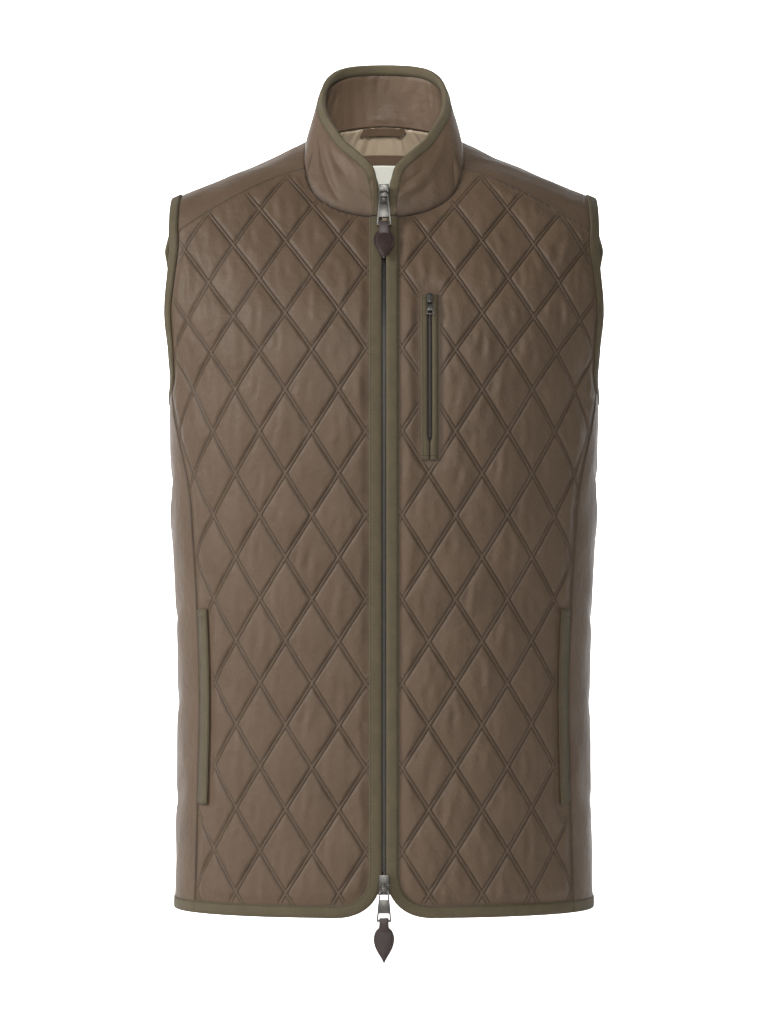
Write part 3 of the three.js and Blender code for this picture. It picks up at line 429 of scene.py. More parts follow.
def both_sides(points):
    points = np.asarray(points, float)
    return np.vstack([points, points[:-1][::-1] * (-1, 1, 1)])


flat_seam = by_x("front", COLLAR_SEAM_X, neck_height(np.array(COLLAR_SEAM_X, float)))
NECK_SEAM = np.vstack([BODY["front"](flat_seam[:, 0], flat_seam[:, 1])[0], COLLAR_SEAM])
NECK_CURVE = Curve(both_sides(NECK_SEAM[5:]))
COLLAR_BASE = Curve(both_sides(NECK_SEAM))
COLLAR_EDGE = Curve(both_sides(COLLAR_TOP))
SHOULDER_3D = BODY["front"](SHOULDER[:, 0], SHOULDER[:, 1])[0]
arm_back = ARM["back"][-1]
ARM_CURVE = Curve(
    [
        SHOULDER_3D[-1],
        OVER_SHOULDER,
        SHOULDER_TIP,
        BEHIND_SHOULDER,
        BODY["back"](arm_back[:1], arm_back[1:] + JOIN_GAP)[0][0],
    ]
)


def yoke_points(s, t):
    """The yoke: s runs from one shoulder seam round the back to the other, t from neck to arm."""
    s, t = (np.ravel(v).astype(float) for v in np.broadcast_arrays(s, t))
    s = np.clip(s, 0, 1)
    t = np.clip(t, 0, 1)
    half = 2 * np.minimum(s, 1 - s)
    to_back = np.maximum(0, (half - YOKE_TURN) / (1 - YOKE_TURN))
    to_arm = np.minimum(1, half / YOKE_TURN)
    near = np.where(
        to_back > 0, lerp(YOKE_NECK_TURN, 0.5, to_back), lerp(0, YOKE_NECK_TURN, to_arm)
    )
    inner = NECK_CURVE.along(near)
    back_edge = section_points(
        "back", lerp(arm_back[0], 0, to_back), height_at("back", arm_back[1] + JOIN_GAP)
    )
    outer = np.where((to_back > 0)[:, None], back_edge, ARM_CURVE.along(to_arm))
    p = inner + (outer - inner) * t[:, None]
    at = np.linspace(0, 1, len(SHOULDER_3D))
    seam = np.stack([np.interp(t, at, SHOULDER_3D[:, k]) for k in range(3)], 1)
    chord = SHOULDER_3D[0] + (SHOULDER_3D[-1] - SHOULDER_3D[0]) * t[:, None]
    p += (seam - chord) * np.maximum(0, 1 - 2.2 * to_arm)[:, None]
    belly = YOKE_BELLY * 4 * t * (1 - t) * np.maximum(0, 2 * to_arm - 1)
    p += belly[:, None] * np.array([0, 1, 0.35])
    p[s > 0.5] *= (-1, 1, 1)
    return p


def yoke_surface(s, t, out=0.0):
    s, t = (np.ravel(v).astype(float) for v in np.broadcast_arrays(s, t))
    ds = yoke_points(s + 0.006, t) - yoke_points(s - 0.006, t)
    dt = yoke_points(s, t + 0.03) - yoke_points(s, t - 0.03)
    normal = unit(np.cross(dt, ds))
    return yoke_points(s, t) + normal * np.reshape(out, (-1, 1)), normal


def collar_points(s, t):
    s, t = (np.ravel(v).astype(float) for v in np.broadcast_arrays(s, t))
    s = np.clip(s, 0, 1)
    t = np.clip(t, 0, 1)[:, None]
    low = COLLAR_BASE.at(s)
    high = COLLAR_EDGE.at(s)
    up = unit(high - low)
    # Behind the neck the collar's foot is sewn inside the yoke, in front it stands on the seam
    behind = eased((np.minimum(s, 1 - s) - COLLAR_TUCK_FROM) / COLLAR_TUCK_OVER)
    tuck = lerp(-JOIN_GAP, COLLAR_TUCK, behind)[:, None]
    p = low + (high - low) * t - up * tuck * (1 - t) ** 4
    outward = unit(p * (1, 1, 0) - (0, 5, 0))
    return p + outward * COLLAR_BELLY * 4 * t * (1 - t) * np.sin(math.pi * s)[:, None]


def collar_surface(s, t, out=0.0):
    s, t = (np.ravel(v).astype(float) for v in np.broadcast_arrays(s, t))
    ds = collar_points(s + 0.01, t) - collar_points(s - 0.01, t)
    dt = collar_points(s, t + 0.02) - collar_points(s, t - 0.02)
    normal = unit(np.cross(ds, dt))
    return collar_points(s, t) + normal * np.reshape(out, (-1, 1)), normal


# Reading flat shapes
def distance_to(line, points):
    """Distance of each flat point from a line of points."""
    a = line[:-1]
    d = line[1:] - a
    square = np.maximum((d**2).sum(1), 1e-12)
    nearest = np.full(len(points), 1e9)
    foot = np.zeros((len(points), 2))
    block = 2000
    for first in range(0, len(points), block):
        part = points[first : first + block]
        offset = part[:, None] - a
        t = np.clip((offset * d).sum(2) / square, 0, 1)
        gap = offset - t[:, :, None] * d
        far = (gap**2).sum(2)
        closest = far.argmin(1)
        rows = np.arange(len(part))
        nearest[first : first + block] = np.sqrt(far[rows, closest])
        foot[first : first + block] = part - gap[rows, closest]
    return nearest, foot


def inside(outline, points):
    a, b = points[:, 0], points[:, 1]
    held = np.zeros(len(points), bool)
    after = np.roll(outline, -1, axis=0)
    for (a0, b0), (a1, b1) in zip(outline, after):
        if b0 == b1:
            continue
        crosses = (b0 > b) != (b1 > b)
        held ^= crosses & (a < a0 + (b - b0) / (b1 - b0) * (a1 - a0))
    return held


def eased(t):
    t = np.clip(t, 0, 1)
    return t * t * (3 - 2 * t)


def ripples(a, b, wavelength, seed, stretch=(1, 1), count=9):
    """Smooth uneven waves with a rough wavelength in millimetres."""
    random = np.random.default_rng(seed)
    total = np.zeros(np.shape(a))
    for _ in range(count):
        angle = random.uniform(0, math.pi)
        phase = random.uniform(0, 2 * math.pi)
        pace = 2 * math.pi / (wavelength * random.uniform(0.7, 1.5))
        run = a * math.cos(angle) * stretch[0] + b * math.sin(angle) * stretch[1]
        total += np.sin(pace * run + phase)
    return total / math.sqrt(count)


def creased(a, b, rows):
    """Soft folds placed one by one: start, end, width and height, negative for a trough."""
    total = np.zeros(np.shape(a))
    points = np.stack([a, b], 1)
    for a0, b0, a1, b1, width, height in rows:
        start = np.array([a0, b0], float)
        run = np.array([a1, b1], float) - start
        t = (points - start) @ run / (run @ run)
        across = (points - start) @ np.array([-run[1], run[0]]) / np.linalg.norm(run)
        ends = eased(t / 0.3) * eased((1 - t) / 0.3)
        wander = 1 + 0.25 * np.sin(5 * t + a0)
        total += height * ends * np.exp(-((across / (width * wander)) ** 2))
    return total


def spread(rows, wide):
    """Folds whose places across are shares of a piece's width, in millimetres."""
    return [(row[0] * wide, row[1], row[2] * wide, *row[3:]) for row in rows]


# Making meshes
def placed(obj, node, body="root"):
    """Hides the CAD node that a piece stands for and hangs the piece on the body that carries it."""
    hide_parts(node)
    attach(obj, body)
    return obj


def made(name, points, faces, materials, uvs=None, slots=None, painted_shade=None):
    """A smooth mesh object from points in millimetres."""
    mesh = bpy.data.meshes.new(name)
    mesh.from_pydata(np.asarray(points, float) * MM, [], [list(map(int, f)) for f in faces])
    for material in materials:
        mesh.materials.append(material)
    if slots is not None:
        mesh.polygons.foreach_set("material_index", np.asarray(slots, np.int32))
    # Painted shade marks are kept as a point attribute that the shell cloth reads to darken its colour
    if painted_shade is not None:
        mark = mesh.attributes.new("painted_shade", "FLOAT", "POINT")
        mark.data.foreach_set("value", np.asarray(painted_shade, np.float32))
    if uvs is not None:
        layer = mesh.uv_layers.new(name="Along")
        layer.data.foreach_set("uv", (np.concatenate(uvs) * MM).astype(np.float32).ravel())
    shape = bmesh.new()
    shape.from_mesh(mesh)
    bmesh.ops.dissolve_degenerate(shape, edges=shape.edges, dist=1e-6)
    bmesh.ops.recalc_face_normals(shape, faces=shape.faces)
    shape.to_mesh(mesh)
    shape.free()
    mesh.polygons.foreach_set("use_smooth", np.ones(len(mesh.polygons), bool))
    mesh.update()
    obj = bpy.data.objects.new(name, mesh)
    bpy.context.scene.collection.objects.link(obj)
    return obj


def sheet_grid(columns, rows):
    """Quads of a grid whose points run across first."""
    i, j = np.meshgrid(np.arange(columns), np.arange(rows))
    low = (j * (columns + 1) + i).ravel()
    return np.stack([low, low + 1, low + columns + 2, low + columns + 1], 1)


def share_grid(columns, rows):
    """Shares across and along at a grid's points, and the grid's faces."""
    s, t = np.meshgrid(np.linspace(0, 1, columns + 1), np.linspace(0, 1, rows + 1))
    return s.ravel(), t.ravel(), sheet_grid(columns, rows)


def shell(name, outer, inner, faces, materials, painted_shade=None):
    """A closed thin piece between an outer and an inner set of points with the same faces."""
    count = len(outer)
    edges = {}
    for face in faces.tolist():
        for a, b in zip(face, face[1:] + face[:1]):
            edges[(a, b)] = True
    rim = [(a, b) for a, b in edges if (b, a) not in edges]
    all_faces = [tuple(f) for f in faces]
    all_faces += [tuple(f[::-1] + count) for f in faces]
    all_faces += [(b, a, a + count, b + count) for a, b in rim]
    slots = [0] * len(faces) + [len(materials) - 1] * len(faces) + [0] * len(rim)
    # Painted shade for the outer cloth only; the inner cloth takes none
    painted_shade_marks = None if painted_shade is None else np.concatenate([painted_shade, painted_shade * 0])
    return made(name, np.vstack([outer, inner]), all_faces, materials, None, slots, painted_shade_marks)


def left_of(line):
    run = unit(np.gradient(line, axis=0))
    return np.stack([-run[:, 1], run[:, 0]], 1)


def stations(surface, line, sign=1, side=None):
    """Point, direction in from the edge and normal at each place of a flat line."""
    side = left_of(line) if side is None else side
    point, normal = surface(line[:, 0], line[:, 1])
    ahead = surface(line[:, 0] + side[:, 0], line[:, 1] + side[:, 1])[0]
    inward = unit(ahead - point)
    flip = np.array([sign, 1, 1])
    return point * flip, inward * flip, normal * flip


def swept(name, places, section, material, looped=False, wave=0.0, seed=0):
    """A strip with one closed section carried along places."""
    point, inward, normal = places
    section = np.asarray(section, float)
    count = len(point)
    width = len(section)
    along = walked(point)
    girth = walked(np.vstack([section, section[:1]]))
    lift = wave * ripples(along, along * 0, 26, seed) if wave else along * 0
    rings = point[:, None] + inward[:, None] * section[None, :, :1]
    rings = rings + normal[:, None] * (section[None, :, 1:] + lift[:, None, None])
    faces = []
    uvs = []
    last = count if looped else count - 1
    spare = np.linalg.norm(point[0] - point[-1])
    for i in range(last):
        j = (i + 1) % count
        v1 = along[j] if j else along[-1] + spare
        for k in range(width):
            m = (k + 1) % width
            faces.append((i * width + k, i * width + m, j * width + m, j * width + k))
            corners = [(girth[k], along[i]), (girth[k + 1], along[i])]
            corners += [(girth[k + 1], v1), (girth[k], v1)]
            uvs.append(np.array(corners))
    if not looped:
        faces.append(tuple(range(width)))
        uvs.append(section.copy())
        faces.append(tuple((count - 1) * width + k for k in reversed(range(width))))
        uvs.append(section[::-1].copy())
    return made(name, rings.reshape(-1, 3), faces, [material], uvs)


def rounded(corners, radius, count=3):
    """A closed flat outline with its corners rounded."""
    corners = np.asarray(corners, float)
    result = []
    for k, corner in enumerate(corners):
        before = corners[k - 1] - corner
        after = corners[(k + 1) % len(corners)] - corner
        reach = min(radius, np.linalg.norm(before) * 0.45, np.linalg.norm(after) * 0.45)
        p = corner + before / np.linalg.norm(before) * reach
        q = corner + after / np.linalg.norm(after) * reach
        for t in np.linspace(0, 1, count):
            result.append(p * (1 - t) ** 2 + 2 * corner * t * (1 - t) + q * t**2)
    return result


def slat(d0, d1, o0, o1, radius=0.4):
    return rounded([(d0, o0), (d1, o0), (d1, o1), (d0, o1)], radius)


def fold(d_fold, d_raw, low, high, thick=0.5):
    """A strip folded in half: a round fold on one side and two raw edges on the other."""
    near = d_fold + (d_raw - d_fold) * 0.08
    middle = (low + high) / 2
    outside = [(d_raw, high), (near, high), (d_fold, middle), (near, low), (d_raw, low)]
    within = [(d_raw, low + thick), (near, low + thick), (near, high - thick), (d_raw, high - thick)]
    return outside + within


GRAIN = np.array([(-0.5, 0, 0), (0.5, 0, 0), (0, -0.5, 0), (0, 0.5, 0), (0, 0, 1), (0, 0, -0.6)])
GRAIN_FACES = [
    (0, 2, 4), (2, 1, 4), (1, 3, 4), (3, 0, 4), (2, 0, 5), (1, 2, 5), (3, 1, 5), (0, 3, 5)
]


def stitches(name, centre, along, normal, material, long=2.3, wide=0.8, high=0.3):
    """Small thread grains, each lying along a seam."""
    along = unit(along)
    beside = unit(np.cross(normal, along))
    points = centre[:, None] + along[:, None] * (GRAIN[None, :, :1] * long)
    points = points + beside[:, None] * (GRAIN[None, :, 1:2] * wide)
    points = points + normal[:, None] * (GRAIN[None, :, 2:] * high)
    faces = (np.arange(len(centre))[:, None, None] * 6 + np.array(GRAIN_FACES)).reshape(-1, 3)
    mesh = bpy.data.meshes.new(name)
    mesh.from_pydata(points.reshape(-1, 3) * MM, [], faces.tolist())
    mesh.materials.append(material)
    mesh.polygons.foreach_set("use_smooth", np.ones(len(mesh.polygons), bool))
    obj = bpy.data.objects.new(name, mesh)
    bpy.context.scene.collection.objects.link(obj)
    return obj


def seam_stitches(places, away, out, pitch=3.1):
    """Stitch places beside a line: centre, direction and normal."""
    point, inward, normal = places
    line = point + inward * away + normal * out
    length = walked(line)
    at = np.arange(pitch / 2, length[-1], pitch)

    def read(values):
        return np.stack([np.interp(at, length, values[:, k]) for k in range(3)], 1)

    run = read(np.gradient(line, axis=0))
    return read(line), run, read(normal)


def stitched(name, rows, material):
    centre, along, normal = (np.vstack([row[k] for row in rows]) for k in range(3))
    obj = stitches(name, centre, along, normal, material)
    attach(obj, "root")
    return obj


# Materials
def linear(text):
    """An sRGB hex colour as linear numbers."""
    channels = [int(text[k : k + 2], 16) / 255 for k in (1, 3, 5)]
    turned = [c / 12.92 if c <= 0.04045 else ((c + 0.055) / 1.055) ** 2.4 for c in channels]
    return (*turned, 1.0)


def add_node(tree, kind, links=(), **settings):
    """Adds a node with its settings; links are pairs of an input's name and an output."""
    node = tree.nodes.new(kind)
    for name, value in settings.items():
        if hasattr(node, name):
            setattr(node, name, value)
        else:
            node.inputs[name.replace("_", " ")].default_value = value
    for socket, source in links:
        tree.links.new(source, node.inputs[socket])
    return node


def blank_material(name, **shader):
    material = bpy.data.materials.new(name)
    material.use_nodes = True
    surface = material.node_tree.nodes["Principled BSDF"]
    for key, value in shader.items():
        surface.inputs[key.replace("_", " ")].default_value = value
    return material, material.node_tree, surface


def two_tone(tree, amount, dark, light):
    """A colour that runs from dark to light by an amount."""
    ramp = add_node(tree, "ShaderNodeValToRGB", [("Fac", amount)])
    ramp.color_ramp.elements[0].color = dark
    ramp.color_ramp.elements[1].color = light
    return ramp.outputs["Color"]


def shell_cloth(colours):
    """Woven polyester taffeta: smooth, calendered, with a low sheen and fine crinkles."""
    material, tree, surface = blank_material(
        "Woven polyester taffeta", Specular_IOR_Level=0.32, Sheen_Weight=0.04, Sheen_Roughness=0.5
    )
    place = add_node(tree, "ShaderNodeTexCoord").outputs["Object"]
    # Crinkles about 7 mm and 2.5 mm across, a cloud of tone about 40 mm across
    crinkle = add_node(tree, "ShaderNodeTexNoise", [("Vector", place)], Scale=140.0, Detail=3.0)
    fine = add_node(tree, "ShaderNodeTexNoise", [("Vector", place)], Scale=420.0, Detail=2.0)
    cloud = add_node(tree, "ShaderNodeTexNoise", [("Vector", place)], Scale=24.0, Detail=3.0)
    # Thread spacing is 0.2 mm on the real cloth, drawn at 0.7 mm so that it shows
    weave = add_node(
        tree, "ShaderNodeTexWave", [("Vector", place)], bands_direction="Z", Scale=220.0
    )
    weave.inputs["Distortion"].default_value = 1.2
    weave.inputs["Detail Scale"].default_value = 2.0
    tone = add_node(
        tree,
        "ShaderNodeMix",
        [("A", cloud.outputs["Fac"]), ("B", weave.outputs["Fac"])],
        Factor=0.16,
    )
    colour = two_tone(tree, tone.outputs["Result"], colours.shell_dark, colours.shell_light)
    # Painted shade: where a stitch row or a seam draws the cloth in, its colour is darkened to as little
    # as half its value, for the shade that falls there
    painted_shade = add_node(tree, "ShaderNodeAttribute", attribute_name="painted_shade")
    light = add_node(
        tree, "ShaderNodeMapRange", [("Value", painted_shade.outputs["Fac"])], To_Min=1.0, To_Max=0.5
    )
    painted_shade_colour = add_node(
        tree, "ShaderNodeHueSaturation", [("Color", colour), ("Value", light.outputs["Result"])]
    )
    tree.links.new(painted_shade_colour.outputs["Color"], surface.inputs["Base Color"])
    rough = add_node(
        tree, "ShaderNodeMapRange", [("Value", fine.outputs["Fac"])], To_Min=0.48, To_Max=0.66
    )
    tree.links.new(rough.outputs["Result"], surface.inputs["Roughness"])
    low = add_node(
        tree, "ShaderNodeBump", [("Height", crinkle.outputs["Fac"])], Strength=0.5, Distance=0.0016
    )
    high = add_node(
        tree,
        "ShaderNodeBump",
        [("Height", fine.outputs["Fac"]), ("Normal", low.outputs["Normal"])],
        Strength=0.35,
        Distance=0.0005,
    )
    tree.links.new(high.outputs["Normal"], surface.inputs["Normal"])
    return material


def lining_cloth(colours):
    """Polyester satin: long floats, smooth and shinier than the shell."""
    material, tree, surface = blank_material(
        "Polyester satin lining", Roughness=0.4, Sheen_Weight=0.1, Sheen_Roughness=0.3
    )
    place = add_node(tree, "ShaderNodeTexCoord").outputs["Object"]
    cloud = add_node(tree, "ShaderNodeTexNoise", [("Vector", place)], Scale=60.0, Detail=3.0)
    colour = two_tone(tree, cloud.outputs["Fac"], colours.lining_dark, colours.lining_light)
    tree.links.new(colour, surface.inputs["Base Color"])
    bump = add_node(
        tree, "ShaderNodeBump", [("Height", cloud.outputs["Fac"])], Strength=0.3, Distance=0.001
    )
    tree.links.new(bump.outputs["Normal"], surface.inputs["Normal"])
    return material


def braid_cloth(colours):
    """Cotton-rich grosgrain: matt, with ribs running across the braid."""
    material, tree, surface = blank_material(
        "Woven grosgrain braid", Roughness=0.8, Specular_IOR_Level=0.3, Sheen_Weight=0.05
    )
    uv = add_node(tree, "ShaderNodeUVMap", uv_map="Along").outputs["UV"]
    # Ribs are 0.6 mm apart on the real braid, drawn 1.2 mm apart
    rib = add_node(
        tree, "ShaderNodeTexWave", [("Vector", uv)], bands_direction="Y", Scale=260.0
    )
    rib.inputs["Distortion"].default_value = 0.6
    place = add_node(tree, "ShaderNodeTexCoord").outputs["Object"]
    cloud = add_node(tree, "ShaderNodeTexNoise", [("Vector", place)], Scale=90.0, Detail=4.0)
    tone = add_node(
        tree,
        "ShaderNodeMix",
        [("A", cloud.outputs["Fac"]), ("B", rib.outputs["Fac"])],
        Factor=0.35,
    )
    colour = two_tone(tree, tone.outputs["Result"], colours.braid_dark, colours.braid_light)
    tree.links.new(colour, surface.inputs["Base Color"])
    bump = add_node(
        tree, "ShaderNodeBump", [("Height", rib.outputs["Fac"])], Strength=0.5, Distance=0.0003
    )
    tree.links.new(bump.outputs["Normal"], surface.inputs["Normal"])
    return material


def tape_cloth(colours):
    """Woven polyester zip tape: tight, matt, dark."""
    material, tree, surface = blank_material("Woven zip tape", Roughness=0.8)
    place = add_node(tree, "ShaderNodeTexCoord").outputs["Object"]
    # Picks about 0.5 mm apart, drawn at 1 mm
    weave = add_node(
        tree, "ShaderNodeTexWave", [("Vector", place)], bands_direction="Z", Scale=310.0
    )
    colour = two_tone(tree, weave.outputs["Fac"], colours.tape_dark, colours.tape_light)
    tree.links.new(colour, surface.inputs["Base Color"])
    bump = add_node(
        tree, "ShaderNodeBump", [("Height", weave.outputs["Fac"])], Strength=0.5, Distance=0.0003
    )
    tree.links.new(bump.outputs["Normal"], surface.inputs["Normal"])
    return material


def zip_metal(colours):
    """Nickel-plated brass, tumbled and lacquered: grey, softly bright, with patchy wear."""
    material, tree, surface = blank_material(
        "Antiqued nickel plate", Metallic=1.0, Roughness=0.34
    )
    place = add_node(tree, "ShaderNodeTexCoord").outputs["Object"]
    wear = add_node(tree, "ShaderNodeTexNoise", [("Vector", place)], Scale=700.0, Detail=4.0)
    colour = two_tone(tree, wear.outputs["Fac"], colours.metal_dark, colours.metal_light)
    tree.links.new(colour, surface.inputs["Base Color"])
    rough = add_node(
        tree, "ShaderNodeMapRange", [("Value", wear.outputs["Fac"])], To_Min=0.3, To_Max=0.55
    )
    tree.links.new(rough.outputs["Result"], surface.inputs["Roughness"])
    bump = add_node(
        tree, "ShaderNodeBump", [("Height", wear.outputs["Fac"])], Strength=0.15, Distance=0.0002
    )
    tree.links.new(bump.outputs["Normal"], surface.inputs["Normal"])
    return material


def pull_leather(colours):
    """Vegetable-tanned calf, finished and waxed: dark, with a fine pebble of pores."""
    material, tree, surface = blank_material(
        "Waxed calf leather", Roughness=0.42, Coat_Weight=0.12, Coat_Roughness=0.4
    )
    place = add_node(tree, "ShaderNodeTexCoord").outputs["Object"]
    # Grain cells about 0.8 mm across
    grain = add_node(tree, "ShaderNodeTexVoronoi", [("Vector", place)], Scale=1300.0)
    cloud = add_node(tree, "ShaderNodeTexNoise", [("Vector", place)], Scale=160.0, Detail=4.0)
    colour = two_tone(tree, cloud.outputs["Fac"], colours.leather_dark, colours.leather_light)
    tree.links.new(colour, surface.inputs["Base Color"])
    rough = add_node(
        tree, "ShaderNodeMapRange", [("Value", cloud.outputs["Fac"])], To_Min=0.34, To_Max=0.55
    )
    tree.links.new(rough.outputs["Result"], surface.inputs["Roughness"])
    bump = add_node(
        tree,
        "ShaderNodeBump",
        [("Height", grain.outputs["Distance"])],
        Strength=0.35,
        Distance=0.0003,
    )
    tree.links.new(bump.outputs["Normal"], surface.inputs["Normal"])
    return material


def label_cloth(colours):
    """Damask-woven polyester label, left blank."""
    material, tree, surface = blank_material("Woven label satin", Roughness=0.55)
    place = add_node(tree, "ShaderNodeTexCoord").outputs["Object"]
    weave = add_node(
        tree, "ShaderNodeTexWave", [("Vector", place)], bands_direction="Z", Scale=420.0
    )
    colour = two_tone(tree, weave.outputs["Fac"], colours.label_dark, colours.label_light)
    tree.links.new(colour, surface.inputs["Base Color"])
    bump = add_node(
        tree, "ShaderNodeBump", [("Height", weave.outputs["Fac"])], Strength=0.3, Distance=0.0002
    )
    tree.links.new(bump.outputs["Normal"], surface.inputs["Normal"])
    return material


def sewing_thread(colours):
    """Core-spun polyester thread, a twist of two plies."""
    material, tree, surface = blank_material("Spun sewing thread", Roughness=0.7)
    place = add_node(tree, "ShaderNodeTexCoord").outputs["Object"]
    twist = add_node(tree, "ShaderNodeTexNoise", [("Vector", place)], Scale=900.0)
    colour = two_tone(tree, twist.outputs["Fac"], colours.thread_dark, colours.thread_light)
    tree.links.new(colour, surface.inputs["Base Color"])
    return material


MAKERS = {
    "shell": shell_cloth,
    "lining": lining_cloth,
    "braid": braid_cloth,
    "tape": tape_cloth,
    "metal": zip_metal,
    "leather": pull_leather,
    "label": label_cloth,
    "thread": sewing_thread,
}
FINISHES = {}


def finish_of(name):
    """The material of a kind, made once."""
    if name not in FINISHES:
        FINISHES[name] = MAKERS[name](bpy.context.scene.vest_colours)
    return FINISHES[name]


# Quilted panels
def line_places(count):
    """Distances across one row of quilting, closer together beside the stitch lines."""
    near = [0, NEEDLE_GAP / 2, NEEDLE_GAP, *BESIDE_LINE]
    half = np.array(near) / LINE_TO_MIDDLE * 0.5
    cell = np.concatenate([half, [0.5], 1 - half[::-1][:-1]])
    return np.concatenate([cell + k for k in range(count)] + [[count]])


def sagged(flat, sag):
    """Lets the upper quilting down towards the armhole."""
    fall = sag * np.abs(flat[:, 0]) * eased((flat[:, 1] - SAG_FROM) / SAG_OVER)
    return np.stack([flat[:, 0], flat[:, 1] - fall], 1)


def scattered(i, j, seed):
    """An even spread of numbers from 0 to 1, one for each diamond."""
    return np.modf(np.abs(np.sin(i * 127.1 + j * 311.7 + seed * 74.7) * 4375.85))[0]


